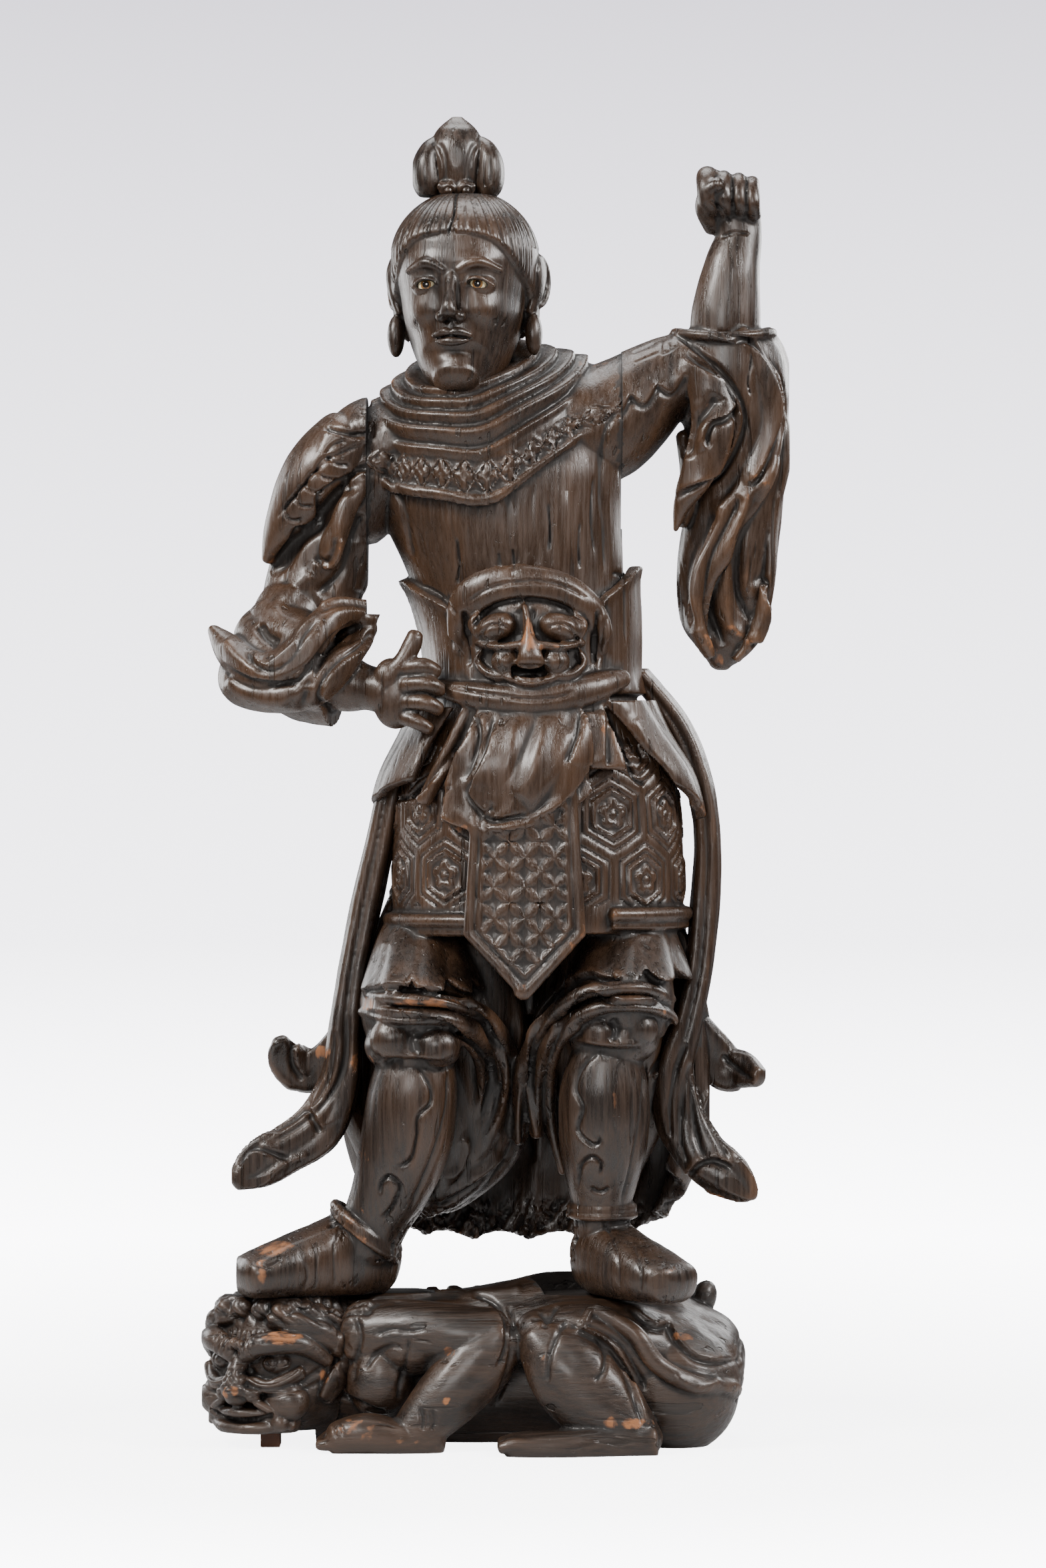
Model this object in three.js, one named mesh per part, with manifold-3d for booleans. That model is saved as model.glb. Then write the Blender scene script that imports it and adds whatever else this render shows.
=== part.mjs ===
// A carved wooden guardian king in armour, standing on a crouching demon.
// Millimetres, +Z up, the figure faces -Y, and the floor is z = 0.
import * as THREE from "three";
import { mergeVertices } from "three/addons/utils/BufferGeometryUtils.js";
import Module from "manifold-3d";

const wasm = await Module();
wasm.setup();

// Driving dimensions
const HEIGHT = 1300; // floor to the tip of the topknot
const SEAT_GAP = 0.3; // clearance between pieces that rest on, in or against each other
const EYE_DIAMETER = 19; // inlaid glass eyes
const WEDGE_WIDTH = 19; // the prop under the demon's chin
const WEDGE_DEPTH = 32;
const WEDGE_HEIGHT = 15;

// The carving is laid out on a carver's grid of squares, with the floor and the tip at these
// levels. Its zero line is the middle of the waist.
const FLOOR_Z = 18;
const TIP_Z = 1703;
const SQUARE = HEIGHT / (TIP_Z - FLOOR_Z);
const GAP = SEAT_GAP / SQUARE;

// Levels and lines on the grid that more than one piece shares
const SOLE_Z = 207; // both boots stand on the demon at this level
const CROWN_Z = 1601; // flat seat of the topknot
const RAISED_SEAM_X = 152; // joint of the raised arm block
const LOWERED_SEAM_X = -171; // joint of the lowered arm block
const HEAD_TURN = -10; // degrees about the vertical, towards the figure's right
const HEAD_BASE = [-47, -32, 1361];
const EYE_PLACE = [33, -79, 121]; // from the chin: aside, forward and up

// Facets: each shape's numbers of sides and steps are for a fine surface, times this share
const FACETS = 0.6;
const SLIVER = 0.02; // square millimetres
const FLAT = 1e-3; // a merge this cheap leaves the surface as it was
const BODY_FACETS = 4300;
const DEMON_FACETS = 1750;
const ARM_FACETS = 950;

const radians = THREE.MathUtils.degToRad;
const mix = THREE.MathUtils.lerp;
const clamp = THREE.MathUtils.clamp;
const TURN = 2 * Math.PI;

// A closed mesh on the grid as a solid in millimetres, with its faces turned out
function solid(points, faces) {
  const positions = new Float32Array(points.flat().map((c) => c * SQUARE));
  const geometry = new THREE.BufferGeometry()
    .setAttribute("position", new THREE.BufferAttribute(positions, 3))
    .setIndex(faces.flat());
  return geometrySolid(geometry);
}

function geometrySolid(geometry) {
  const bare = new THREE.BufferGeometry()
    .setAttribute("position", geometry.getAttribute("position"))
    .setIndex(geometry.index);
  const merged = mergeVertices(bare, 1e-4);
  const p = merged.getAttribute("position");
  const index = Array.from(merged.index.array);
  const corners = [0, 1, 2].map(() => new THREE.Vector3());
  let volume = 0;
  const kept = [];
  for (let i = 0; i < index.length; i += 3) {
    const [a, b, c] = index.slice(i, i + 3);
    if (a === b || b === c || a === c) continue;
    kept.push(a, b, c);
    corners[0].fromBufferAttribute(p, a);
    corners[1].fromBufferAttribute(p, b);
    corners[2].fromBufferAttribute(p, c);
    volume += corners[0].dot(corners[1].cross(corners[2]));
  }
  if (volume < 0) kept.reverse();
  return new wasm.Manifold(
    new wasm.Mesh({
      numProp: 3,
      vertProperties: new Float32Array(p.array),
      triVerts: new Uint32Array(kept),
    })
  );
}

const facets = (count, least) => Math.max(least, Math.round(count * FACETS));
const join = (solids) => wasm.Manifold.union(solids.flat(Infinity));

// The same solid with fewer facets: its least important corners are merged into a neighbour,
// cheapest first. A corner's cost is its summed squared distance from the facets' planes, times
// their areas, and none over `dearest` goes.
function thinned(made, target, dearest = 1e6) {
  const mesh = made.getMesh();
  const at = Array.from({ length: mesh.vertProperties.length / mesh.numProp }, (_, i) =>
    new THREE.Vector3().fromArray(mesh.vertProperties, i * mesh.numProp)
  );
  const facetsOf = at.map(() => new Set());
  const corners = [];
  for (let i = 0; i < mesh.triVerts.length; i += 3) {
    corners.push(Array.from(mesh.triVerts.slice(i, i + 3)));
    corners[i / 3].forEach((v) => facetsOf[v].add(i / 3));
  }
  const facet = (points) => new THREE.Triangle(...points);
  const quadrics = at.map(() => new Float64Array(10));
  const [normal, cross] = [new THREE.Vector3(), new THREE.Vector3()];
  corners.forEach((ids) => {
    const flat = facet(ids.map((v) => at[v]));
    flat.getNormal(normal);
    const [x, y, z, w] = [normal.x, normal.y, normal.z, -normal.dot(at[ids[0]])];
    const share = flat.getArea();
    [x * x, x * y, x * z, x * w, y * y, y * z, y * w, z * z, z * w, w * w].forEach((term, k) =>
      ids.forEach((v) => (quadrics[v][k] += term * share))
    );
  });
  const cost = (v, u) => {
    const [a, b, c, d, e, f, g, h, i, j] = quadrics[v];
    const { x, y, z } = at[u];
    return (
      a * x * x + e * y * y + h * z * z + j + 2 * (b * x * y + c * x * z + f * y * z + d * x + g * y + i * z)
    );
  };
  const around = (v) => new Set([...facetsOf[v]].flatMap((t) => corners[t]).filter((u) => u !== v));
  const allowed = (v, u) => {
    const ring = around(u);
    if ([...around(v)].filter((w) => ring.has(w)).length !== 2) return false;
    for (const t of facetsOf[v]) {
      if (corners[t].includes(u)) continue;
      const before = facet(corners[t].map((w) => at[w]));
      const after = facet(corners[t].map((w) => at[w === v ? u : w]));
      before.getNormal(normal);
      after.getNormal(cross);
      const sliver = before.getArea() < SLIVER;
      if (after.getArea() < (sliver ? before.getArea() : SLIVER)) return false;
      if (!sliver && normal.dot(cross) < 0.35) return false;
    }
    return true;
  };
  let left = corners.length;
  let limit = FLAT;
  while (left > target && limit <= dearest) {
    let merged = 0;
    for (let v = 0; v < at.length && left > target; v++) {
      if (!facetsOf[v].size) continue;
      const choices = [...around(v)].map((u) => [cost(v, u), u]).sort((p, q) => p[0] - q[0]);
      const choice = choices.find(([price, u]) => price < limit && allowed(v, u));
      if (!choice) continue;
      const u = choice[1];
      for (const t of [...facetsOf[v]]) {
        if (corners[t].includes(u)) {
          corners[t].forEach((w) => facetsOf[w].delete(t));
          corners[t] = null;
          left -= 1;
        } else {
          corners[t] = corners[t].map((w) => (w === v ? u : w));
          facetsOf[u].add(t);
        }
      }
      facetsOf[v].clear();
      quadrics[v].forEach((term, k) => (quadrics[u][k] += term));
      merged += 1;
    }
    if (!merged) limit *= 2;
  }
  const kept = corners.filter(Boolean).flat();
  const numbers = new Map([...new Set(kept)].map((v, i) => [v, i]));
  return new wasm.Manifold(
    new wasm.Mesh({
      numProp: 3,
      vertProperties: new Float32Array([...numbers.keys()].flatMap((v) => at[v].toArray())),
      triVerts: new Uint32Array(kept.map((v) => numbers.get(v))),
    })
  );
}

// A point on a smooth curve through rows of numbers, t from 0 to 1
function along(rows, t) {
  const last = rows.length - 1;
  const s = clamp(t, 0, 1) * last;
  const i = Math.min(Math.floor(s), last - 1);
  const f = s - i;
  const [a, b, c, d] = [-1, 0, 1, 2].map((k) => rows[clamp(i + k, 0, last)]);
  return b.map(
    (_, k) =>
      0.5 *
      (2 * b[k] +
        (c[k] - a[k]) * f +
        (2 * a[k] - 5 * b[k] + 4 * c[k] - d[k]) * f * f +
        (3 * b[k] - a[k] - 3 * c[k] + d[k]) * f * f * f)
  );
}

// Round ridges with sharp valleys between them, from -1 to 1
const ridges = (x) => 2 * Math.abs(Math.sin(Math.PI * x)) - 1;

// A closed solid through rings of equal count, capped flat at both ends
function loft(rings) {
  const n = rings[0].length;
  const points = rings.flat();
  const faces = [];
  for (let i = 0; i + 1 < rings.length; i++)
    for (let j = 0; j < n; j++) {
      const k = (j + 1) % n;
      const [a, b] = [i * n + j, i * n + k];
      const [c, d] = [a + n, b + n];
      faces.push([a, b, d], [a, d, c]);
    }
  for (const [ring, at, flip] of [
    [rings[0], 0, true],
    [rings[rings.length - 1], (rings.length - 1) * n, false],
  ]) {
    const centre = points.length;
    points.push([0, 1, 2].map((k) => ring.reduce((s, q) => s + q[k], 0) / n));
    for (let j = 0; j < n; j++) {
      const [a, b] = [at + j, at + ((j + 1) % n)];
      faces.push(flip ? [b, a, centre] : [a, b, centre]);
    }
  }
  return solid(points, faces);
}

// A limb, fold or roll swept along rows of [x, y, z, half width, half depth]. The depth lies
// along `towards`. Options: sides, steps, folds [count, share of radius, twist in folds], square
// (2 is round, 4 is boxy), round [start, end] and grow, which thickens it for a clearance.
function sweep(rows, options = {}) {
  const { towards = [0, 1, 0], folds = [0, 0, 0], square = 2, round = [1, 1], grow = 0 } = options;
  const sides = facets(options.sides ?? 12, 4);
  const steps = facets(options.steps ?? rows.length * 2 - 1, 1);
  const creased = sides >= 3 * folds[0];
  const reference = new THREE.Vector3(...towards);
  const stations = [];
  if (round[0]) stations.push([0, -0.85, 0.5]);
  for (let i = 0; i <= steps; i++) stations.push([i / steps, 0, 1]);
  if (round[1]) stations.push([1, 0.85, 0.5]);
  const rings = stations.map(([t, beyond, share]) => {
    const row = along(rows, t);
    const ahead = along(rows, Math.min(t + 0.01, 1));
    const behind = along(rows, Math.max(t - 0.01, 0));
    const tangent = new THREE.Vector3(...[0, 1, 2].map((k) => ahead[k] - behind[k])).normalize();
    const depth = reference.clone().addScaledVector(tangent, -reference.dot(tangent)).normalize();
    const width = new THREE.Vector3().crossVectors(depth, tangent);
    const [a, b] = [Math.max(row[3], 1.5), Math.max(row[4], 1.5)];
    const push = beyond * Math.min(a, b) * 0.6 * (beyond < 0 ? round[0] : round[1]);
    return Array.from({ length: sides }, (_, j) => {
      const angle = (j / sides) * TURN;
      const [c, s] = [Math.cos(angle), Math.sin(angle)];
      const boxed = (Math.abs(c) ** square + Math.abs(s) ** square) ** (-1 / square);
      const crease = creased ? folds[1] * ridges((folds[0] * j) / sides + folds[2] * t) : 0;
      const r = boxed * share * (1 + crease);
      return [0, 1, 2].map(
        (k) =>
          row[k] +
          tangent.getComponent(k) * push +
          width.getComponent(k) * c * (a * r + grow) +
          depth.getComponent(k) * s * (b * r + grow)
      );
    });
  });
  return loft(rings);
}

// A closed hoop of round section through points of a loop
function hoop(loop, fineCount, thick, fineSides = 5) {
  const count = facets(fineCount, 6);
  const sides = facets(fineSides, 4);
  const at = (i) => new THREE.Vector3(...loop(((i + count) % count) / count));
  const centre = Array.from({ length: count }, (_, i) => at(i))
    .reduce((sum, p) => sum.add(p), new THREE.Vector3())
    .divideScalar(count);
  const points = [];
  for (let i = 0; i < count; i++) {
    const p = at(i);
    const tangent = at(i + 1).sub(at(i - 1)).normalize();
    const out = p.clone().sub(centre);
    out.addScaledVector(tangent, -out.dot(tangent)).normalize();
    const up = new THREE.Vector3().crossVectors(tangent, out);
    for (let j = 0; j < sides; j++) {
      const angle = (j / sides) * TURN;
      points.push([0, 1, 2].map(
        (k) =>
          p.getComponent(k) +
          thick * (out.getComponent(k) * Math.cos(angle) + up.getComponent(k) * Math.sin(angle))
      ));
    }
  }
  const faces = [];
  for (let i = 0; i < count; i++)
    for (let j = 0; j < sides; j++) {
      const a = i * sides + j;
      const b = i * sides + ((j + 1) % sides);
      const c = ((i + 1) % count) * sides + j;
      const d = ((i + 1) % count) * sides + ((j + 1) % sides);
      faces.push([a, b, d], [a, d, c]);
    }
  return solid(points, faces);
}

// A sheet of carved cloth or plate: surface(u, v) is its middle, thick its thickness
function sheet(surface, fineAcross, fineDown, thick) {
  const nu = facets(fineAcross, 1);
  const nv = facets(fineDown, 1);
  const points = [];
  const e = 0.01;
  const side = (sign) => {
    for (let i = 0; i <= nu; i++)
      for (let j = 0; j <= nv; j++) {
        const [u, v] = [i / nu, j / nv];
        const at = (p, q) => new THREE.Vector3(...surface(clamp(p, 0, 1), clamp(q, 0, 1)));
        const across = at(u + e, v).sub(at(u - e, v));
        const down = at(u, v + e).sub(at(u, v - e));
        const normal = across.cross(down).normalize();
        const middle = at(u, v);
        points.push(middle.addScaledVector(normal, (sign * thick) / 2).toArray());
      }
  };
  side(1);
  side(-1);
  const other = (nu + 1) * (nv + 1);
  const at = (i, j) => i * (nv + 1) + j;
  const faces = [];
  for (let i = 0; i < nu; i++)
    for (let j = 0; j < nv; j++) {
      const [a, b, c, d] = [at(i, j), at(i + 1, j), at(i + 1, j + 1), at(i, j + 1)];
      faces.push([a, b, c], [a, c, d]);
      faces.push([other + a, other + c, other + b], [other + a, other + d, other + c]);
    }
  const edge = (a, b) => faces.push([a, b + other, b], [a, a + other, b + other]);
  for (let i = 0; i < nu; i++) {
    edge(at(i, 0), at(i + 1, 0));
    edge(at(i + 1, nv), at(i, nv));
  }
  for (let j = 0; j < nv; j++) {
    edge(at(0, j + 1), at(0, j));
    edge(at(nu, j), at(nu, j + 1));
  }
  return solid(points, faces);
}

// An ellipsoid, turned in degrees about X, Y and Z
function ball(centre, radii, turn = [0, 0, 0], around = 12, high = 8, grow = 0) {
  const geometry = new THREE.SphereGeometry(1, facets(around, 5), facets(high, 3)).rotateX(Math.PI / 2);
  return placed(geometry, centre, radii.map((r) => r + grow), turn);
}

// A small boss with few faces
function boss(centre, radii, turn = [0, 0, 0]) {
  return placed(new THREE.OctahedronGeometry(1, 0), centre, radii, turn);
}

function placed(geometry, centre, sizes, turn) {
  const bare = mergeVertices(
    new THREE.BufferGeometry()
      .setAttribute("position", geometry.getAttribute("position"))
      .setIndex(geometry.index)
  );
  const place = new THREE.Matrix4().compose(
    new THREE.Vector3(...centre).multiplyScalar(SQUARE),
    new THREE.Quaternion().setFromEuler(new THREE.Euler(...turn.map(radians))),
    new THREE.Vector3(...sizes).multiplyScalar(SQUARE)
  );
  return geometrySolid(bare.applyMatrix4(place));
}

// A block between two corners
function block(low, high) {
  const size = [0, 1, 2].map((k) => high[k] - low[k]);
  const centre = [0, 1, 2].map((k) => (high[k] + low[k]) / 2);
  return placed(new THREE.BoxGeometry(1, 1, 1), centre, size, [0, 0, 0]);
}

// A group of solids turned about its own origin and set at a place on the grid
function set(parts, place, turn) {
  const matrix = new THREE.Matrix4().compose(
    new THREE.Vector3(...place).multiplyScalar(SQUARE),
    new THREE.Quaternion().setFromEuler(new THREE.Euler(...turn.map(radians), "ZYX")),
    new THREE.Vector3(1, 1, 1)
  );
  return parts.flat(Infinity).map((part) => part.transform(matrix.toArray()));
}

// Trunk, hips and skirt: [x, y, z, half width, half depth] from the skirt's hem to the neck
const TRUNK = [
  [46, 12, 668, 184, 132],
  [46, 11, 730, 187, 133],
  [46, 9, 800, 184, 128],
  [46, 6, 865, 174, 120],
  [43, 3, 925, 144, 106],
  [40, 0, 985, 124, 95],
  [36, 0, 1050, 125, 93],
  [24, 0, 1115, 133, 97],
  [11, 0, 1180, 146, 103],
  [0, 0, 1240, 164, 103],
  [-8, 0, 1292, 168, 92],
  [-22, 0, 1335, 128, 76],
  [-38, -4, 1372, 68, 58],
  [-42, -10, 1410, 50, 52],
];

function trunkAt(z) {
  let [low, high] = [0, 1];
  for (let i = 0; i < 18; i++) {
    const middle = (low + high) / 2;
    if (along(TRUNK, middle)[2] < z) low = middle;
    else high = middle;
  }
  return along(TRUNK, low);
}

// A point on the trunk: degrees from the front towards +X, height, and lift off the surface
function onTrunk(angle, z, lift = 0) {
  const [x, y, , a, b] = trunkAt(z);
  const turn = radians(angle);
  return [x + (a + lift) * Math.sin(turn), y - (b + lift) * Math.cos(turn), z];
}

// A plate or cloth laid on the trunk
const laid = (angle, height, lift, nu, nv, thick) =>
  sheet((u, v) => onTrunk(angle(u, v), height(u, v), lift(u, v)), nu, nv, thick);

// Collar: scarf rolls round the neck, then a yoke with a patterned band and a pointed front
function collar() {
  const count = facets(34, 12);
  const ringsDown = facets(18, 6);
  const scarfShare = 0.56;
  const rolls = 3;
  const point = (turn, v) => {
    const [s, c] = [Math.sin(turn), Math.cos(turn)];
    const front = Math.max(c, 0);
    const tip = 24 * Math.exp(-((Math.atan2(s, c) - 0.05) ** 2) / 0.1) * v * v;
    const inner = [-43 + 62 * s, -8 - 66 * c, 1392 - 32 * c + 14 * s];
    const outer = [-17 + 158 * s, -104 * c, 1318 + 46 * s - 90 * front - tip];
    const roll = v < scarfShare ? 7 * ridges((rolls * v) / scarfShare) + 5 : -2;
    const rim = v > 0.9 ? 4 : 0;
    const swell = 24 * Math.sin(Math.PI * v) + roll + rim;
    return [
      mix(inner[0], outer[0], v) + swell * s * 0.8,
      mix(inner[1], outer[1], v) - swell * c * 0.9,
      mix(inner[2], outer[2], v) + swell * 0.55,
    ];
  };
  const rings = Array.from({ length: ringsDown + 1 }, (_, i) =>
    Array.from({ length: count }, (_, j) => point((j / count) * TURN, 1 - i / ringsDown))
  );
  return loft(rings);
}

// Waist: two flared side plates, an arched plate with a lion's mask, and the roll below it
function waist() {
  const sidePlate = (from, to, topFrom, topTo) =>
    laid(
      (u, v) => mix(from, to, u) * (1 - 0.04 * v),
      (u, v) => mix(mix(topFrom, topTo, u), 972, v),
      (u, v) => mix(9, 6, v),
      6,
      3,
      14
    );
  const arch = (u) => 1062 + 66 * Math.sqrt(Math.max(0, 1 - (2 * u - 1) ** 2));
  const archBand = laid(
    (u, v) => mix(-40, 50, u),
    (u, v) => mix(arch(u), arch(u) - 40, v),
    (u, v) => 14 + 5 * Math.sin(Math.PI * v),
    14,
    3,
    16
  );
  const field = laid(
    (u, v) => mix(-34, 44, u),
    (u, v) => mix(arch(0.08 + u * 0.84) - 26, 978, v),
    (u, v) => 12 + 14 * Math.sin(Math.PI * u),
    10,
    5,
    20
  );
  const lip = sweep(
    [-62, -38, -8, 22, 50, 66].map((angle, i) => [
      ...onTrunk(angle, 974 - 12 * Math.sin((i / 5) * Math.PI), 12),
      17 - 3 * Math.abs(i - 2.5),
      20,
    ]),
    { sides: 8, steps: 10 }
  );
  return [
    sidePlate(-92, -37, 1120, 1082),
    sidePlate(47, 92, 1092, 1142),
    archBand,
    field,
    lip,
    lionMask(),
  ];
}

// The mask on the belly plate: bulging eyes under swept brows, a snub nose and a wide mouth
function lionMask() {
  const centre = 5;
  const at = (angle, z, lift) => onTrunk(centre + angle, z, lift);
  const features = [-1, 1].flatMap((side) => [
    ball(at(15 * side, 1056, 22), [19, 15, 12], [0, 12 * side, 0], 8, 6),
    sweep(
      [
        [...at(3 * side, 1060, 30), 7, 8],
        [...at(14 * side, 1078, 28), 9, 9],
        [...at(27 * side, 1058, 20), 6, 7],
      ],
      { sides: 6, steps: 5 }
    ),
    ball(at(13 * side, 1016, 24), [20, 18, 15], [0, 0, 0], 8, 6),
    sweep(
      [
        [...at(10 * side, 1000, 30), 6, 8],
        [...at(22 * side, 1004, 26), 8, 9],
        [...at(33 * side, 1022, 18), 5, 6],
      ],
      { sides: 6, steps: 4 }
    ),
  ]);
  const nose = sweep(
    [
      [...at(0, 1098, 24), 5, 5],
      [...at(0, 1062, 32), 8, 9],
      [...at(0, 1030, 38), 14, 12],
      [...at(0, 1018, 34), 12, 9],
    ],
    { sides: 7, steps: 5 }
  );
  return [...features, nose, ball(at(0, 998, 26), [22, 14, 9], [0, 0, 0], 8, 6)];
}

// Cloth below the belt: the bunched apron, its two side leaves and the end of the knot
function apron() {
  const bunch = laid(
    (u, v) => mix(mix(-26, -36, v), mix(30, 36 - 6 * v, v), u),
    (u, v) => mix(968, 812 - 12 * Math.sin(Math.PI * u) + 48 * u ** 6 + 20 * (1 - u) ** 6, v),
    (u, v) => 14 + 14 * Math.sin(Math.PI * v) + 3 * ridges(3 * u + v),
    12,
    6,
    20
  );
  const under = laid(
    (u) => mix(-38, 22, u),
    (u, v) => mix(858, 806 - 9 * Math.sin(Math.PI * u), v),
    (u, v) => 10 + 6 * v,
    8,
    2,
    18
  );
  const leaf = (inner, outer, top, tip, bend) =>
    laid(
      (u, v) => mix(inner, outer, u) + bend * v * (1 - u),
      (u, v) => mix(top, mix(tip, top - 60, (1 - u) * 0.55) , v),
      (u, v) => 16 + 6 * Math.sin(Math.PI * u),
      6,
      5,
      14
    );
  const pleat = (angle, drift, top, bottom) =>
    sweep(
      [0, 0.5, 1].map((t) => [...onTrunk(angle + drift * t, mix(top, bottom, t), 12), 9, 10]),
      { sides: 6, steps: 4 }
    );
  return [
    bunch,
    under,
    leaf(36, 92, 960, 798, 26),
    leaf(-44, -100, 952, 822, -10),
    pleat(-34, -14, 950, 835),
    pleat(-30, -4, 950, 860),
    laid((u) => mix(25, 40, u), (u, v) => mix(960, 872, v), () => 12, 2, 2, 14),
  ];
}

// A raised six-sided ring on the skirt with a flower boss inside it
function hexagon(angle, z, radius) {
  const degreesAcross = 0.33;
  const corner = (t, r, lift) => {
    const turn = TURN * t + TURN / 12;
    return onTrunk(angle + r * degreesAcross * Math.sin(turn), z + r * Math.cos(turn), lift);
  };
  return [hoop((t) => corner(t, radius * 0.9, 3), 6, 5, 4), boss(corner(0, 0, 3), [14, 8, 14])];
}

// Skirt armour: rolled hem, honeycomb ornament and the hanging panel in the middle
function skirt() {
  const hem = (from, to, z) =>
    sweep(
      Array.from({ length: 7 }, (_, i) => [...onTrunk(mix(from, to, i / 6), z, 5), 9, 9]),
      { sides: 6, steps: 10, towards: [0, 0, 1] }
    );
  const cells = [
    [-42, 742],
    [-70, 790],
    [-98, 742],
    [33, 830],
    [52, 742],
    [75, 815],
    [100, 742],
    [24, 742],
  ];
  return [hem(-112, -20, 682), hem(30, 112, 690), cells.map(([a, z]) => hexagon(a, z, 33)), panel()];
}

function panel() {
  const middle = 29;
  const top = 846;
  const shoulder = 666;
  const tip = 586;
  const half = (z) => (z > shoulder ? mix(75, 64, (z - shoulder) / (top - shoulder)) : 0);
  const width = (v) => {
    const z = mix(top, tip, v);
    return z > shoulder ? half(z) : mix(3, 75, (z - tip) / (shoulder - tip));
  };
  const front = (x, z, lift) => [
    middle + x,
    -139 - lift + 0.0016 * x * x + 0.00018 * (z - shoulder) ** 2,
    z,
  ];
  const board = sheet(
    (u, v) => front((2 * u - 1) * width(v), mix(top, tip, v), 0),
    6,
    9,
    20
  );
  const outline = [
    [-64, top],
    [-75, shoulder],
    [0, tip],
    [75, shoulder],
    [64, top],
  ];
  const rim = outline.slice(1).map(([x, z], i) => {
    const [x0, z0] = outline[i];
    const inset = 0.9;
    return sweep(
      [
        [...front(x0 * inset, z0, 10), 6, 6],
        [...front(x * inset, i === 1 || i === 2 ? z + (z === tip ? 9 : 0) : z, 10), 6, 6],
      ],
      { sides: 6, steps: 1 }
    );
  });
  const bars = [];
  const pitch = 52;
  for (let k = 0; k < 5; k++)
    for (const lean of [-1, 1]) {
      const z = 800 - pitch * k + 8;
      const reach = z - 52 < shoulder - 25 ? 30 : 52;
      bars.push(
        sweep(
          [
            [...front(-lean * reach, z + reach * 0.5, 10), 3, 4],
            [...front(lean * reach, z - reach * 0.5, 10), 3, 4],
          ],
          { sides: 4, steps: 1, round: [0, 0] }
        )
      );
    }
  return [board, rim, bars];
}

// Legs: frill, trouser, knee, greave and boot. side is -1 for the figure's right leg
function legs() {
  const frill = (x, z, deep, phase) => {
    const count = facets(36, 12);
    const rings = [1, 0.3, 0].map((up) =>
      Array.from({ length: count }, (_, j) => {
        const t = j / count;
        const wave = ridges(6 * t + phase);
        const flare = 82 + 10 * (1 - up) + 5 * wave * (1 - up);
        return [
          x + flare * Math.sin(t * TURN),
          -22 - (flare + 10) * Math.cos(t * TURN),
          z + deep * up + (up === 0 ? 7 * wave : 0),
        ];
      })
    );
    return loft(rings);
  };
  const rightLeg = [
    frill(-103, 603, 78, 0.2),
    sweep(
      [
        [-92, -6, 690, 74, 92],
        [-98, -26, 620, 80, 96],
        [-100, -36, 568, 80, 94],
        [-103, -38, 546, 72, 84],
      ],
      { sides: 18, steps: 5, round: [0, 1] }
    ),
    sweep(
      [
        [-172, -50, 566, 8, 12],
        [-130, -124, 562, 9, 12],
        [-70, -118, 560, 10, 12],
        [-22, -66, 535, 11, 14],
        [0, -12, 480, 11, 16],
        [-8, 10, 420, 9, 14],
      ],
      { sides: 7, steps: 12 }
    ),
    ball([-112, -66, 524], [62, 58, 42], [0, 0, 0], 14, 8),
    sweep(
      [
        [-108, -52, 500, 50, 56],
        [-113, -50, 460, 57, 64],
        [-121, -44, 405, 58, 64],
        [-138, -36, 350, 51, 58],
        [-158, -26, 305, 43, 52],
        [-172, -18, 270, 40, 50],
      ],
      { sides: 16, steps: 10, square: 2.2 }
    ),
    ankleRoll([-174, -20, 290], [48, 56], [0, 38, 0]),
    sweep(
      [
        [-158, 4, 246, 44, 44],
        [-190, -14, 254, 50, 56],
        [-238, -38, 248, 47, 46],
        [-285, -60, 240, 47, 36],
        [-318, -74, 233, 44, 28],
      ],
      { sides: 14, steps: 8, towards: [0, 0, 1], square: 2.8, round: [0.8, 0.5] }
    ),
  ];
  const leftLeg = [
    frill(164, 616, 74, 0.6),
    sweep(
      [
        [152, -6, 690, 76, 92],
        [150, -30, 630, 76, 96],
        [148, -46, 580, 72, 92],
        [146, -52, 552, 64, 82],
      ],
      { sides: 18, steps: 5, round: [0, 1] }
    ),
    sweep(
      [
        [214, -60, 560, 8, 12],
        [180, -132, 578, 9, 12],
        [120, -136, 574, 10, 12],
        [72, -92, 540, 11, 14],
        [46, -34, 480, 11, 16],
        [44, -4, 410, 9, 14],
      ],
      { sides: 7, steps: 12 }
    ),
    ball([138, -80, 536], [58, 54, 42], [0, 0, 0], 14, 8),
    sweep(
      [
        [132, -66, 510, 46, 54],
        [130, -64, 462, 57, 62],
        [129, -58, 405, 56, 62],
        [127, -48, 355, 46, 54],
        [127, -38, 315, 36, 46],
        [128, -34, 285, 36, 46],
      ],
      { sides: 16, steps: 10, square: 2.2 }
    ),
    ankleRoll([127, -38, 318], [38, 49], [0, 0, 0]),
    sweep(
      [
        [126, -10, 250, 40, 42],
        [134, -40, 254, 46, 48],
        [160, -84, 246, 46, 42],
        [192, -122, 238, 45, 34],
        [214, -146, 232, 40, 27],
      ],
      { sides: 14, steps: 8, towards: [0, 0, 1], square: 2.8, round: [0.8, 0.5] }
    ),
  ];
  return [rightLeg, leftLeg];
}

function ankleRoll(place, radii, turn) {
  const loop = hoop((t) => [radii[0] * Math.cos(t * TURN), radii[1] * Math.sin(t * TURN), 0], 16, 7);
  return set([loop], place, turn);
}

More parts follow.
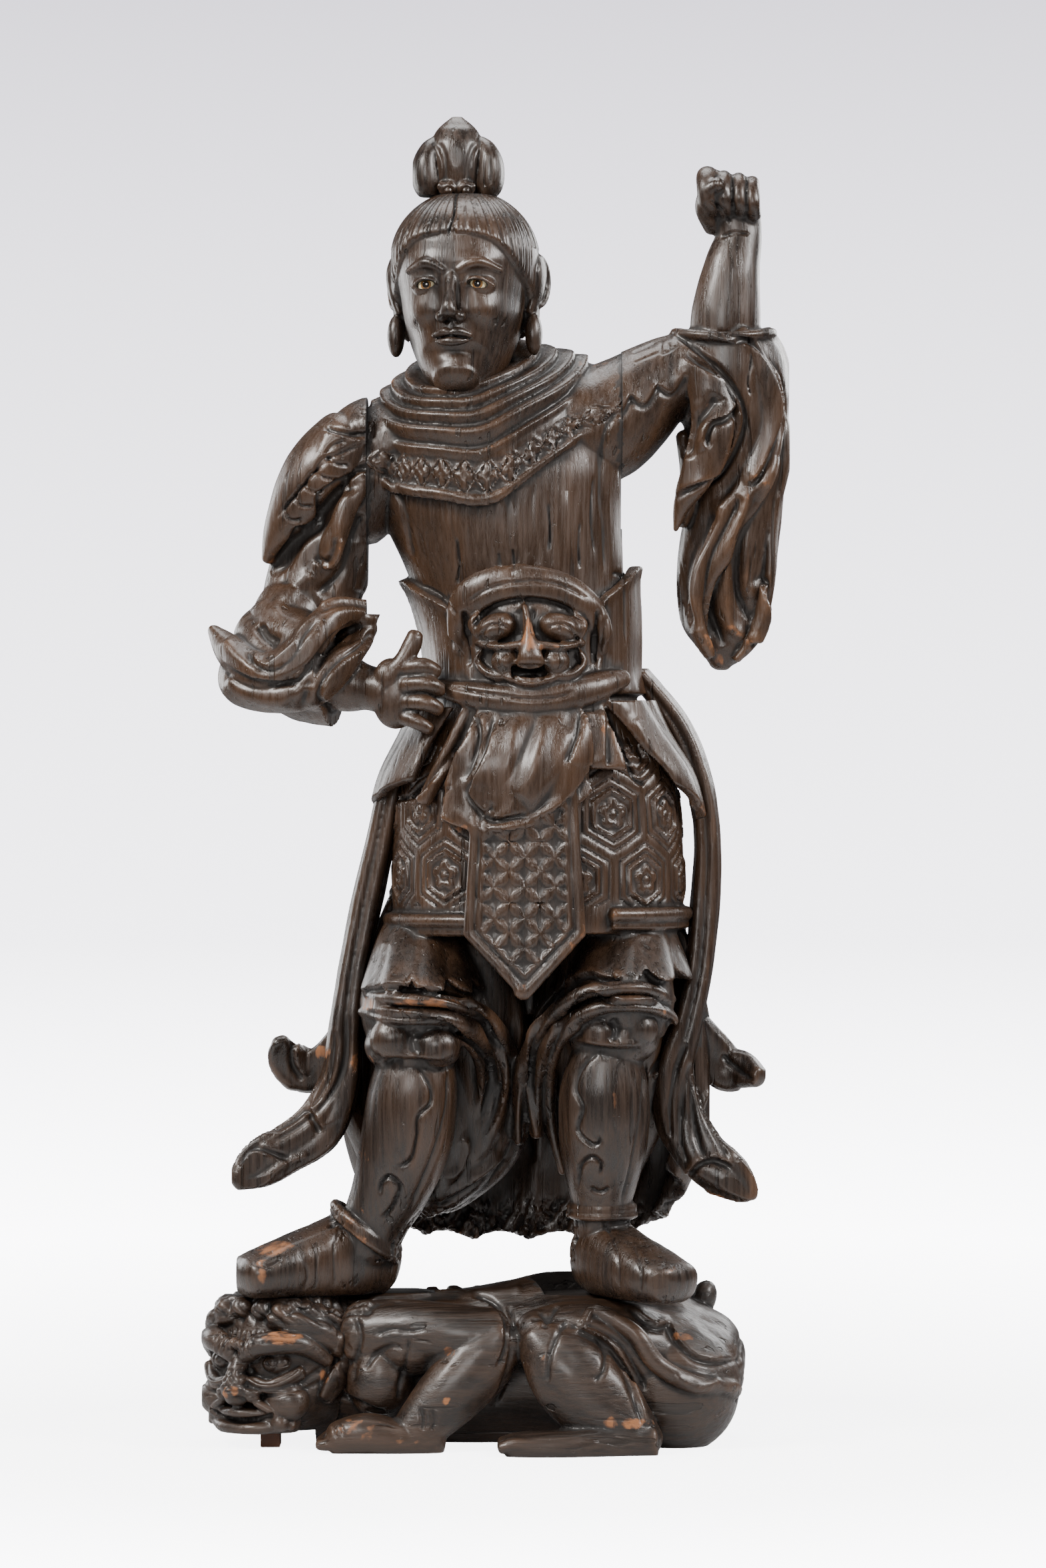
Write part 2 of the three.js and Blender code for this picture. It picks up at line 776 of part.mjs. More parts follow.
// Robe: cloth bags behind the greaves and the deep bell of the skirt behind both legs
function robe() {
  const bag = (rows) => sweep(rows, { sides: 22, steps: 8, folds: [5.5, 0.07, 0.8] });
  const bell = sheet(
    (u, v) => {
      const turn = mix(-1.75, 1.75, u);
      const wide = mix(168, 224, Math.sin(Math.min(v * 1.5, 1) * (Math.PI / 2)));
      const tuck = 1 - 0.9 * Math.max(0, v - 0.8) ** 1.2;
      const fold = 7 * ridges(9 * u + 0.4 * v) * Math.min(1, 2 * v);
      const hem = 266 + 130 * Math.abs(2 * u - 1) ** 3.2;
      return [
        mix(38, 28, v) + (wide * tuck + fold) * Math.sin(turn),
        34 + (mix(84, 128, v) * tuck + fold) * Math.cos(turn),
        mix(720, hem, v),
      ];
    },
    30,
    8,
    20
  );
  return [
    bag([
      [-66, 30, 640, 74, 62],
      [-52, 40, 560, 82, 66],
      [-46, 46, 480, 88, 66],
      [-52, 48, 410, 78, 60],
      [-80, 42, 350, 52, 46],
      [-104, 32, 318, 26, 26],
    ]),
    bag([
      [134, 26, 640, 78, 62],
      [134, 30, 560, 88, 66],
      [134, 36, 480, 90, 66],
      [130, 40, 415, 74, 56],
      [128, 36, 360, 48, 40],
    ]),
    bell,
    block([-40, 20, 560], [130, 118, 700]),
  ];
}

// The head, laid out from the chin with the face towards -Y. Its face is a plain ideal one.
function head() {
  const skull = sweep(
    [
      [0, -58, 2, 20, 24],
      [0, -38, 22, 48, 56],
      [0, -18, 56, 68, 76],
      [0, -6, 100, 78, 90],
      [0, 0, 140, 84, 97],
      [0, 4, 180, 87, 97],
      [0, 6, 215, 72, 80],
      [0, 6, 240, 40, 46],
    ],
    { sides: 24, steps: 14, square: 2.15, towards: [0, 1, 0] }
  );
  const around = facets(44, 16);
  const hairAt = (turn, v) => {
    const [across, ahead] = [Math.sin(turn), Math.cos(turn)];
    const temples = ahead > -0.4 ? 26 * Math.exp(-((Math.abs(across) - 0.9) ** 2) / 0.05) : 0;
    const hairline = mix(58, 184, Math.max(0, ahead) ** 0.55) - temples;
    const z = mix(243, hairline, v);
    const [, y, , a, b] = headSection(z);
    const locks = 2.5 * ridges((15 * turn) / TURN) * Math.min(1, v * 4);
    const lift = 5 + locks + 4 * Math.sin(Math.PI * v);
    return [(a + lift) * across, y - (b + lift) * ahead, z];
  };
  const hair = loft(
    [0, 0.2, 0.45, 0.7, 0.9, 1].map((v) =>
      Array.from({ length: around }, (_, i) => hairAt((TURN * i) / around, v))
    )
  );
  const ear = (side) => [
    sweep(
      [
        [88 * side, 2, 84, 6, 12],
        [93 * side, 8, 112, 8, 16],
        [97 * side, 12, 140, 8, 22],
        [94 * side, 8, 160, 6, 14],
      ],
      { sides: 8, steps: 6 }
    ),
    ball([89 * side, 2, 62], [11, 15, 26], [0, 0, 0], 8, 6),
    hoop(
      (t) => [
        99 * side,
        10 - 20 * Math.cos(t * TURN),
        132 + 32 * Math.sin(t * TURN),
      ],
      12,
      5,
      4
    ),
  ];
  const face = [
    sweep(
      [
        [0, -90, 132, 9, 8],
        [0, -98, 106, 9, 10],
        [0, -108, 84, 13, 14],
        [0, -100, 73, 15, 10],
      ],
      { sides: 8, steps: 6 }
    ),
    ball([13, -96, 76], [9, 10, 8], [0, 0, 0], 8, 6),
    ball([-13, -96, 76], [9, 10, 8], [0, 0, 0], 8, 6),
    sweep(
      [
        [-24, -86, 50, 4, 5],
        [-9, -94, 54, 5, 6],
        [0, -95, 53, 5, 6],
        [9, -94, 54, 5, 6],
        [24, -86, 50, 4, 5],
      ],
      { sides: 6, steps: 6, towards: [0, 1, 0] }
    ),
    sweep(
      [
        [-20, -86, 45, 4, 5],
        [0, -93, 41, 7, 7],
        [20, -86, 45, 4, 5],
      ],
      { sides: 6, steps: 5 }
    ),
    ball([0, -74, 20], [22, 20, 16], [0, 0, 0], 10, 6),
  ];
  const upperFace = [-1, 1].flatMap((side) => [
    sweep(
      [
        [8 * side, -94, 137, 7, 8],
        [30 * side, -92, 146, 7, 8],
        [56 * side, -76, 140, 5, 6],
      ],
      { sides: 6, steps: 5 }
    ),
    ball([46 * side, -66, 84], [24, 20, 22], [0, 0, 0], 10, 6),
  ]);
  return [skull, hair, ear(1), ear(-1), face, upperFace];
}

// Half width and depth of the skull at a height over the chin
function headSection(z) {
  const t = clamp(z / 243, 0, 1);
  const dome = Math.sqrt(Math.max(0.02, 1 - Math.max(0, (t - 0.66) / 0.36) ** 2));
  return [0, mix(-6, 6, t), z, 84 * dome, 97 * dome];
}

const eyePlaces = [-1, 1].map((side) => {
  const local = new THREE.Vector3(EYE_PLACE[0] * side, EYE_PLACE[1], EYE_PLACE[2]);
  return local.applyEuler(new THREE.Euler(0, 0, radians(HEAD_TURN))).add(new THREE.Vector3(...HEAD_BASE));
});
const eyeBall = (place, grow) => {
  const radius = EYE_DIAMETER / 2 / SQUARE + grow;
  return ball(place.toArray(), [radius, radius, radius], [0, 0, 0], 14, 10);
};

// Topknot: a pointed bud between two side loops, on the flat crown
function topknot() {
  const [x, y] = [-54, -24];
  const bud = sweep(
    [
      [x, y, 1600, 24, 24],
      [x, y, 1622, 33, 32],
      [x, y - 2, 1648, 39, 37],
      [x - 1, y - 2, 1672, 33, 32],
      [x - 2, y, 1690, 18, 18],
      [x - 2, y, 1700, 6, 6],
    ],
    { sides: 16, steps: 10, round: [0, 1] }
  );
  const loop = (side) =>
    sweep(
      [
        [x + 10 * side, y - 10, 1606, 12, 16],
        [x + 33 * side, y - 8, 1622, 17, 26],
        [x + 44 * side, y, 1648, 17, 30],
        [x + 37 * side, y + 8, 1674, 13, 24],
      ],
      { sides: 10, steps: 6, round: [1, 1] }
    );
  const curl = (side) => ball([x + 13 * side, y - 27, 1613], [13, 9, 11], [0, 0, 0], 8, 6);
  return join([bud, loop(-1), loop(1), curl(-1), curl(1)]).subtract(
    block([-300, -300, 1500], [200, 300, CROWN_Z + GAP])
  );
}

// A finger or thumb bent along its path
const finger = (rows) => sweep(rows, { sides: 7, steps: 5 });

// The lowered arm: shoulder guard, sleeve, wide cuff, forearm and the open hand at the hip
function loweredArm() {
  const guard = [
    ball([-172, -8, 1306], [58, 76, 40], [0, -26, 0], 14, 8),
    sweep(
      [
        [-196, -26, 1292, 42, 56],
        [-228, -34, 1258, 44, 54],
        [-256, -34, 1216, 38, 44],
        [-282, -30, 1174, 22, 28],
        [-298, -26, 1140, 8, 10],
      ],
      { sides: 14, steps: 8, folds: [7, 0.05, 0.5] }
    ),
  ];
  const upper = [
    sweep(
      [
        [-150, 2, 1276, 60, 74],
        [-186, 4, 1226, 62, 68],
        [-220, 6, 1160, 64, 62],
        [-245, 4, 1098, 60, 58],
        [-268, -6, 1048, 50, 52],
      ],
      { sides: 18, steps: 9, folds: [6, 0.06, 1.2] }
    ),
    ball([-268, -18, 1066], [50, 50, 52], [0, 20, 0], 12, 8),
    sweep(
      [
        [-176, -66, 1244, 15, 12],
        [-196, -72, 1200, 13, 12],
        [-214, -66, 1158, 16, 14],
        [-220, -60, 1134, 9, 8],
      ],
      { sides: 7, steps: 6 }
    ),
  ];
  const cuffShell = sweep(
    [
      [-290, -8, 1052, 52, 58],
      [-272, -26, 1024, 64, 72],
      [-244, -42, 1006, 68, 78],
      [-212, -52, 1004, 72, 74],
    ],
    { sides: 24, steps: 6, folds: [5, 0.08, 0.5], round: [1, 0] }
  );
  const cuffHollow = sweep(
    [
      [-248, -40, 1004, 34, 38],
      [-222, -50, 1004, 52, 56],
      [-196, -58, 1004, 66, 66],
    ],
    { sides: 16, steps: 4, round: [0.5, 0] }
  );
  const rolls = [
    sweep(
      [
        [-166, -38, 1072, 14, 16],
        [-214, -84, 1066, 20, 22],
        [-252, -106, 1020, 22, 24],
        [-296, -96, 996, 24, 24],
        [-336, -62, 1018, 24, 26],
        [-366, -36, 1050, 8, 12],
      ],
      { sides: 9, steps: 14, towards: [0, 1, 0] }
    ),
    sweep(
      [
        [-168, -46, 1052, 11, 16],
        [-200, -92, 1010, 20, 20],
        [-236, -104, 974, 22, 22],
        [-288, -82, 970, 26, 28],
        [-334, -50, 982, 24, 28],
        [-342, -20, 1014, 14, 20],
      ],
      { sides: 9, steps: 14, towards: [0, 1, 0] }
    ),
  ];
  const forearm = sweep(
    [
      [-286, -20, 1020, 42, 42],
      [-232, -46, 996, 42, 40],
      [-196, -56, 982, 36, 33],
      [-166, -70, 976, 28, 25],
      [-146, -80, 972, 30, 24],
    ],
    { sides: 12, steps: 8 }
  );
  const hand = [
    ball([-128, -84, 966], [30, 20, 42], [0, 10, 0], 10, 8),
    finger([
      [-140, -88, 992, 13, 13],
      [-120, -92, 1012, 11, 11],
      [-110, -90, 1040, 10, 10],
    ]),
    finger([
      [-122, -92, 998, 10, 10],
      [-98, -100, 1002, 9, 9],
      [-84, -94, 996, 8, 8],
    ]),
    finger([
      [-120, -96, 980, 10, 10],
      [-94, -106, 982, 9, 9],
      [-76, -98, 974, 8, 8],
    ]),
    finger([
      [-120, -94, 960, 10, 10],
      [-96, -106, 959, 9, 9],
      [-78, -100, 950, 8, 8],
    ]),
    finger([
      [-124, -90, 944, 9, 9],
      [-106, -100, 934, 8, 8],
      [-92, -98, 922, 7, 7],
    ]),
  ];
  return [guard, upper, cuffShell.subtract(cuffHollow), rolls, forearm, hand];
}

// The raised arm: shoulder sleeve, the long hanging sleeve, bare forearm and the fist
function raisedArm() {
  const upper = sweep(
    [
      [130, 4, 1318, 74, 78],
      [168, 4, 1346, 62, 72],
      [206, 4, 1370, 54, 64],
      [246, 2, 1388, 48, 58],
      [280, 0, 1400, 46, 52],
    ],
    { sides: 18, steps: 8, folds: [6, 0.04, 1] }
  );
  const sleeve = sweep(
    [
      [280, 0, 1424, 62, 54],
      [290, 6, 1380, 74, 62],
      [302, 12, 1310, 64, 58],
      [302, 18, 1240, 60, 50],
      [290, 22, 1160, 62, 44],
      [284, 24, 1090, 56, 36],
      [284, 24, 1040, 42, 26],
      [279, 22, 1008, 14, 12],
    ],
    { sides: 28, steps: 18, folds: [7, 0.12, 1.6], round: [0, 1] }
  );
  const mouth = sweep(
    [
      [284, -2, 1440, 50, 42],
      [284, -2, 1408, 42, 36],
    ],
    { sides: 14, steps: 1, round: [0, 1] }
  );
  const rim = hoop(
    (t) => [
      283 + 62 * Math.cos(t * TURN),
      -2 + 55 * Math.sin(t * TURN),
      1426 + 4 * Math.cos(2 * t * TURN),
    ],
    20,
    7
  );
  const folds = [
    sweep(
      [
        [222, -24, 1420, 7, 10],
        [256, -58, 1372, 9, 12],
        [276, -66, 1312, 10, 14],
        [262, -54, 1252, 12, 14],
        [234, -34, 1206, 10, 14],
        [221, -22, 1176, 3, 6],
      ],
      { sides: 7, steps: 12 }
    ),
    sweep(
      [
        [300, -54, 1424, 6, 8],
        [336, -46, 1372, 8, 12],
        [348, -30, 1310, 10, 14],
        [330, -36, 1240, 12, 14],
        [292, -38, 1176, 11, 14],
        [252, -24, 1110, 8, 12],
      ],
      { sides: 7, steps: 12 }
    ),
    sweep(
      [
        [352, 4, 1352, 8, 16],
        [362, 8, 1280, 9, 18],
        [344, 8, 1200, 11, 18],
        [342, 4, 1120, 8, 16],
        [326, 4, 1050, 9, 14],
        [300, 6, 1014, 5, 8],
      ],
      { sides: 8, steps: 12 }
    ),
    sweep(
      [
        [236, 4, 1300, 14, 22],
        [244, 8, 1240, 16, 22],
        [230, -8, 1188, 8, 12],
      ],
      { sides: 8, steps: 5 }
    ),
  ];
  const forearm = sweep(
    [
      [284, 0, 1398, 44, 38],
      [286, -4, 1455, 44, 38],
      [294, -6, 1515, 36, 32],
      [302, -6, 1552, 30, 25],
      [298, -6, 1582, 32, 24],
    ],
    { sides: 14, steps: 9 }
  );
  const knuckle = (x, z, thick) =>
    finger([
      [x, 12, z - 14, thick, thick],
      [x - 2, -8, z + 2, thick, thick],
      [x - 3, -34, z - 4, thick, thick],
      [x - 2, -42, z - 26, thick, thick],
      [x, -26, z - 40, thick, thick],
    ]);
  const fist = [
    ball([292, -4, 1592], [38, 28, 38], [0, 0, 0], 12, 8),
    knuckle(262, 1630, 12),
    knuckle(285, 1624, 11),
    knuckle(304, 1622, 10),
    knuckle(321, 1618, 10),
    finger([
      [270, -6, 1566, 13, 13],
      [258, -28, 1586, 12, 12],
      [262, -46, 1606, 11, 11],
      [276, -54, 1616, 9, 9],
    ]),
  ];
  return [upper, sleeve.subtract(mouth), rim, folds, forearm, fist];
}

// A scarf tail: a broad strap down the side with a flying end and a curl behind it
const strap = { sides: 10, steps: 20, folds: [2, 0.1, 0.5], square: 2.6 };
function scarfRight(grow = 0) {
  const end = { sides: 10, steps: 9, square: 2.6, grow };
  return [
    sweep(
      [
        [-112, 18, 930, 14, 24],
        [-138, 20, 860, 17, 27],
        [-156, 20, 780, 18, 28],
        [-174, 18, 700, 19, 28],
        [-190, 12, 620, 18, 28],
        [-200, 2, 545, 20, 25],
        [-206, -8, 480, 24, 19],
        [-232, -16, 420, 31, 12],
        [-276, -24, 388, 29, 11],
        [-312, -34, 366, 26, 14],
        [-336, -40, 348, 10, 9],
      ],
      { ...strap, grow }
    ),
    sweep(
      [
        [-206, 30, 540, 12, 14],
        [-226, 38, 500, 24, 11],
        [-250, 44, 486, 28, 11],
        [-274, 38, 502, 24, 11],
        [-284, 24, 526, 10, 9],
      ],
      end
    ),
  ];
}

function scarfLeft(grow = 0) {
  const end = { sides: 10, steps: 9, square: 2.6, grow };
  return [
    sweep(
      [
        [176, 20, 994, 13, 24],
        [226, 22, 930, 15, 27],
        [254, 22, 855, 16, 28],
        [263, 22, 780, 16, 28],
        [260, 20, 700, 18, 28],
        [252, 14, 620, 17, 28],
        [236, 4, 550, 19, 26],
        [220, -6, 490, 24, 20],
        [228, -14, 430, 31, 12],
        [256, -22, 384, 30, 12],
        [290, -30, 356, 28, 14],
        [316, -36, 334, 12, 9],
      ],
      { ...strap, steps: 22, grow }
    ),
    sweep(
      [
        [246, 34, 560, 12, 14],
        [264, 40, 520, 26, 11],
        [286, 44, 490, 28, 11],
        [308, 36, 488, 24, 12],
        [328, 22, 480, 14, 14],
      ],
      end
    ),
  ];
}

// The demon: crouched along X, head towards -X, near arm and leg in front
function demonBody() {
  const trunk = sweep(
    [
      [-212, 22, 112, 92, 84],
      [-140, 26, 112, 98, 98],
      [-60, 30, 104, 104, 100],
      [20, 30, 110, 110, 102],
      [90, 24, 116, 116, 110],
      [160, 12, 110, 106, 118],
      [225, 4, 102, 100, 120],
      [264, 2, 100, 82, 98],
      [286, 2, 94, 56, 66],
    ],
    { sides: 24, steps: 16, towards: [0, 1, 0], folds: [8, 0.03, 0.4], round: [1, 0.6] }
  );
  const rump = [
    ball([220, -52, 92], [82, 72, 86], [0, 0, 0], 18, 10),
    ball([216, 66, 92], [80, 68, 84], [0, 0, 0], 14, 8),
    sweep(
      [
        [118, -112, 196, 8, 8],
        [166, -126, 168, 11, 10],
        [196, -128, 128, 12, 10],
        [240, -122, 104, 12, 10],
        [288, -90, 92, 11, 11],
        [308, -50, 84, 10, 11],
      ],
      { sides: 7, steps: 10 }
    ),
    ball([258, 26, 196], [17, 19, 24], [0, 20, 0], 8, 6),
  ];
  const nearArm = [
    ball([-152, -62, 104], [44, 46, 54], [0, 0, 0], 12, 8),
    sweep(
      [
        [-176, -50, 156, 44, 44],
        [-120, -70, 162, 42, 44],
        [-60, -86, 160, 40, 42],
        [-10, -92, 156, 38, 38],
      ],
      { sides: 12, steps: 6 }
    ),
    sweep(
      [
        [-4, -94, 158, 36, 36],
        [-28, -104, 128, 44, 36],
        [-66, -112, 88, 41, 34],
        [-98, -116, 54, 34, 30],
        [-112, -118, 36, 30, 28],
      ],
      { sides: 12, steps: 7 }
    ),
    sweep(
      [
        [-84, -116, 30, 24, 24],
        [-128, -120, 34, 28, 24],
        [-170, -122, 40, 32, 26],
        [-206, -118, 34, 32, 22],
      ],
      { sides: 10, steps: 6, towards: [0, 0, 1], square: 2.6 }
    ),
  ];
  const nearLeg = [
    sweep(
      [
        [40, -84, 150, 40, 44],
        [96, -82, 156, 50, 52],
        [160, -64, 140, 60, 60],
        [220, -40, 110, 64, 60],
      ],
      { sides: 14, steps: 6 }
    ),
    ball([46, -96, 160], [32, 36, 34], [0, 0, 0], 10, 8),
    sweep(
      [
        [48, -104, 158, 32, 34],
        [80, -122, 122, 52, 38],
        [118, -130, 82, 52, 36],
        [156, -132, 46, 40, 32],
        [176, -132, 24, 32, 30],
      ],
      { sides: 14, steps: 8, folds: [7, 0.03, 0.3] }
    ),
    sweep(
      [
        [188, -132, 30, 30, 26],
        [130, -140, 30, 32, 25],
        [76, -146, 28, 36, 20],
        [26, -148, 27, 34, 16],
      ],
      { sides: 10, steps: 6, towards: [0, 0, 1], square: 2.8, round: [0.5, 0.8] }
    ),
  ];
  const farSide = [
    sweep(
      [
        [-150, 90, 120, 46, 44],
        [-70, 132, 110, 42, 40],
        [-60, 142, 66, 36, 34],
        [-100, 140, 34, 32, 26],
        [-150, 132, 30, 32, 18],
      ],
      { sides: 10, steps: 8 }
    ),
    sweep(
      [
        [200, 84, 110, 60, 56],
        [110, 122, 130, 52, 46],
        [70, 138, 100, 42, 40],
        [120, 140, 44, 36, 32],
        [60, 144, 28, 32, 16],
      ],
      { sides: 10, steps: 8 }
    ),
  ];
  return [trunk, rump, nearArm, nearLeg, farSide];
}

// The demon's head about its own centre, face towards -Y, before it is turned to its place
function demonHead() {
  const mirrored = [-1, 1].flatMap((side) => [
    ball([38 * side, -76, 12], [22, 16, 15], [0, 0, 0], 10, 6),
    sweep(
      [
        [10 * side, -100, 20, 11, 12],
        [38 * side, -98, 38, 13, 13],
        [72 * side, -66, 34, 11, 12],
        [88 * side, -34, 12, 7, 9],
      ],
      { sides: 7, steps: 7 }
    ),
    sweep(
      [
        [18 * side, -96, -8, 7, 8],
        [42 * side, -90, -14, 8, 9],
        [70 * side, -66, 4, 8, 9],
      ],
      { sides: 6, steps: 5 }
    ),
    ball([50 * side, -72, -34], [30, 24, 26], [0, 0, 0], 10, 6),
    ball([20 * side, -102, -26], [13, 13, 11], [0, 0, 0], 8, 6),
    sweep(
      [
        [84 * side, -30, -34, 7, 16],
        [94 * side, -18, -8, 8, 20],
        [100 * side, 0, 18, 4, 8],
      ],
      { sides: 7, steps: 5 }
    ),
    sweep(
      [
        [30 * side, -70, 66, 12, 14],
        [64 * side, -56, 60, 15, 17],
        [88 * side, -20, 40, 15, 18],
        [94 * side, 20, 10, 13, 18],
        [84 * side, 50, -20, 10, 14],
      ],
      { sides: 8, steps: 9 }
    ),
    sweep(
      [
        [22 * side, -88, -56, 5, 8],
        [50 * side, -80, -56, 8, 10],
        [70 * side, -58, -44, 5, 7],
      ],
      { sides: 6, steps: 4 }
    ),
  ]);
  return [
    sweep(
      [
        [0, -20, -88, 46, 52],
        [0, -10, -58, 78, 82],
        [0, 0, -12, 88, 92],
        [0, 6, 34, 88, 90],
        [0, 14, 74, 76, 78],
        [0, 18, 96, 66, 66],
      ],
      { sides: 20, steps: 10, square: 2.3, round: [0.4, 0] }
    ),
    mirrored,
    sweep(
      [
        [0, -92, 32, 10, 9],
        [0, -104, 6, 13, 12],
        [0, -114, -20, 18, 15],
        [0, -104, -34, 15, 10],
      ],
      { sides: 8, steps: 5 }
    ),
    sweep(
      [
        [-52, -78, -66, 6, 8],
        [-20, -98, -70, 9, 11],
        [20, -98, -70, 9, 11],
        [52, -78, -66, 6, 8],
      ],
      { sides: 6, steps: 7 }
    ),
    sweep(
      [
        [-40, -86, -52, 5, 7],
        [0, -104, -50, 7, 9],
        [40, -86, -52, 5, 7],
      ],
      { sides: 6, steps: 6 }
    ),
    ball([0, -78, -84], [34, 24, 12], [0, 0, 0], 10, 6),
  ];
}

const DEMON_HEAD_PLACE = [-274, -8, 114];
const DEMON_HEAD_TURN = [0, 0, -34];
const WEDGE_PLACE = [-292, -58];
const wedgeHalf = [WEDGE_WIDTH / 2 / SQUARE, WEDGE_DEPTH / 2 / SQUARE];
const wedgeTop = FLOOR_Z + WEDGE_HEIGHT / SQUARE;
const FAR = 2000;

function wedge() {
  return block(
    [WEDGE_PLACE[0] - wedgeHalf[0], WEDGE_PLACE[1] - wedgeHalf[1], FLOOR_Z],
    [WEDGE_PLACE[0] + wedgeHalf[0], WEDGE_PLACE[1] + wedgeHalf[1], wedgeTop]
  );
}

// The boots' seats in the demon: a box over the soles' level round each boot
function bootSeats() {
  const seat = (heel, toe, half) => {
    const [run, rise] = [toe[0] - heel[0], toe[1] - heel[1]];
    const length = Math.hypot(run, rise);
    const box = block([0, -half, 0], [length, half, 400]);
    return set([box], [...heel, SOLE_Z - GAP], [0, 0, THREE.MathUtils.radToDeg(Math.atan2(rise, run))]);
  };
  return [seat([-100, 26], [-380, -106], 76), seat([100, 36], [236, -240], 72)];
}

function demon() {
  const head = set([demonHead()], DEMON_HEAD_PLACE, DEMON_HEAD_TURN);
  const whole = thinned(join([demonBody(), head]), DEMON_FACETS);
  const floor = block([-FAR, -FAR, -FAR], [FAR, FAR, FLOOR_Z]);
  const chinSeat = block([-FAR, -FAR, -FAR], [-236, 60, wedgeTop + GAP]);
  const headTop = block([-FAR, -FAR, SOLE_Z - GAP], [-150, FAR, FAR]);
  return whole.subtract(join([floor, chinSeat, headTop, bootSeats()]));
}

// The figure's own block, with its joints and seats cut
function body() {
  const turn = [0, 0, HEAD_TURN];
  const trunk = sweep(TRUNK, { sides: 28, steps: 20, round: [0, 0] });
  const whole = join([
    trunk,
    collar(),
    waist(),
    apron(),
    skirt(),
    legs(),
    robe(),
    set([head()], HEAD_BASE, turn),
    raisedShoulder(),
    loweredShoulder(),
  ]);
  const seams = [
    block([RAISED_SEAM_X - GAP / 2, -FAR, 1180], [FAR, FAR, FAR]),
    block([-FAR, -FAR, 1080], [LOWERED_SEAM_X + GAP / 2, FAR, FAR]),
  ];
  return thinned(whole, BODY_FACETS).subtract(
    join([
      seams,
      block([-FAR, -FAR, -FAR], [FAR, FAR, SOLE_Z]),
      block([-200, -200, CROWN_Z], [100, 200, FAR]),
      eyePlaces.map((place) => eyeBall(place, GAP)),
      scarfRight(GAP),
      scarfLeft(GAP),
    ])
  );
}

// The sleeves' roots, which both the body and the arm blocks share up to the seam
function raisedShoulder() {
  return sweep(
    [
      [70, 2, 1304, 84, 84],
      [130, 4, 1318, 76, 80],
      [190, 4, 1360, 58, 68],
    ],
    { sides: 18, steps: 4 }
  );
}

function loweredShoulder() {
  return sweep(
    [
      [-100, 0, 1290, 60, 80],
      [-150, 2, 1276, 62, 76],
      [-200, 4, 1206, 62, 66],
    ],
    { sides: 18, steps: 4 }
  );
}

function armBlocks() {
  const raised = thinned(join([raisedArm(), raisedShoulder()]), ARM_FACETS).subtract(
    block([-FAR, -FAR, -FAR], [RAISED_SEAM_X + GAP / 2, FAR, FAR])
  );
  const lowered = thinned(join([loweredArm(), loweredShoulder()]), ARM_FACETS).subtract(
    block([LOWERED_SEAM_X - GAP / 2, -FAR, 1070], [FAR, FAR, FAR])
  );
  return { raised, lowered };
}

// Materials, one for each finish
const finish = (color, roughness) => new THREE.MeshStandardMaterial({ color, roughness, metalness: 0 });
const DARK_WOOD = finish(0x3b281d, 0.42);
const DEMON_WOOD = finish(0x3a2c26, 0.5);
const RAW_WOOD = finish(0x9a5f3c, 0.7);
const EYE_GLASS = finish(0xd8c9a0, 0.15);

// The largest piece of a solid, as a mesh in the statue's group
function piece(name, made, material) {
  const parts = made.decompose().sort((p, q) => q.volume() - p.volume());
  const mesh = thinned(parts[0], 0, FLAT).getMesh();
  const geometry = new THREE.BufferGeometry()
    .setAttribute("position", new THREE.BufferAttribute(new Float32Array(mesh.vertProperties), 3))
    .setIndex(new THREE.BufferAttribute(new Uint32Array(mesh.triVerts), 1));
  geometry.computeVertexNormals();
  const result = new THREE.Mesh(geometry, material);
  result.name = name;
  return result;
}

const statue = new THREE.Group();
const arms = armBlocks();
statue.add(
  piece("body", body(), DARK_WOOD),
  piece("raised_arm", arms.raised, DARK_WOOD),
  piece("lowered_arm", arms.lowered, DARK_WOOD),
  piece("topknot", topknot(), DARK_WOOD),
  piece("scarf_right", join(scarfRight()), DARK_WOOD),
  piece("scarf_left", join(scarfLeft()), DARK_WOOD),
  piece("eye_right", eyeBall(eyePlaces[0], 0), EYE_GLASS),
  piece("eye_left", eyeBall(eyePlaces[1], 0), EYE_GLASS),
  piece("demon", demon(), DEMON_WOOD),
  piece("chin_wedge", wedge(), RAW_WOOD)
);

// The origin is under the middle of the statue's box, on the floor
const middle = new THREE.Box3().setFromObject(statue).getCenter(new THREE.Vector3());
statue.position.set(-middle.x, -middle.y, -FLOOR_Z * SQUARE);

export default statue;
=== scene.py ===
"""A carved wooden guardian king on a crouching demon, dressed around its solid model."""

import math

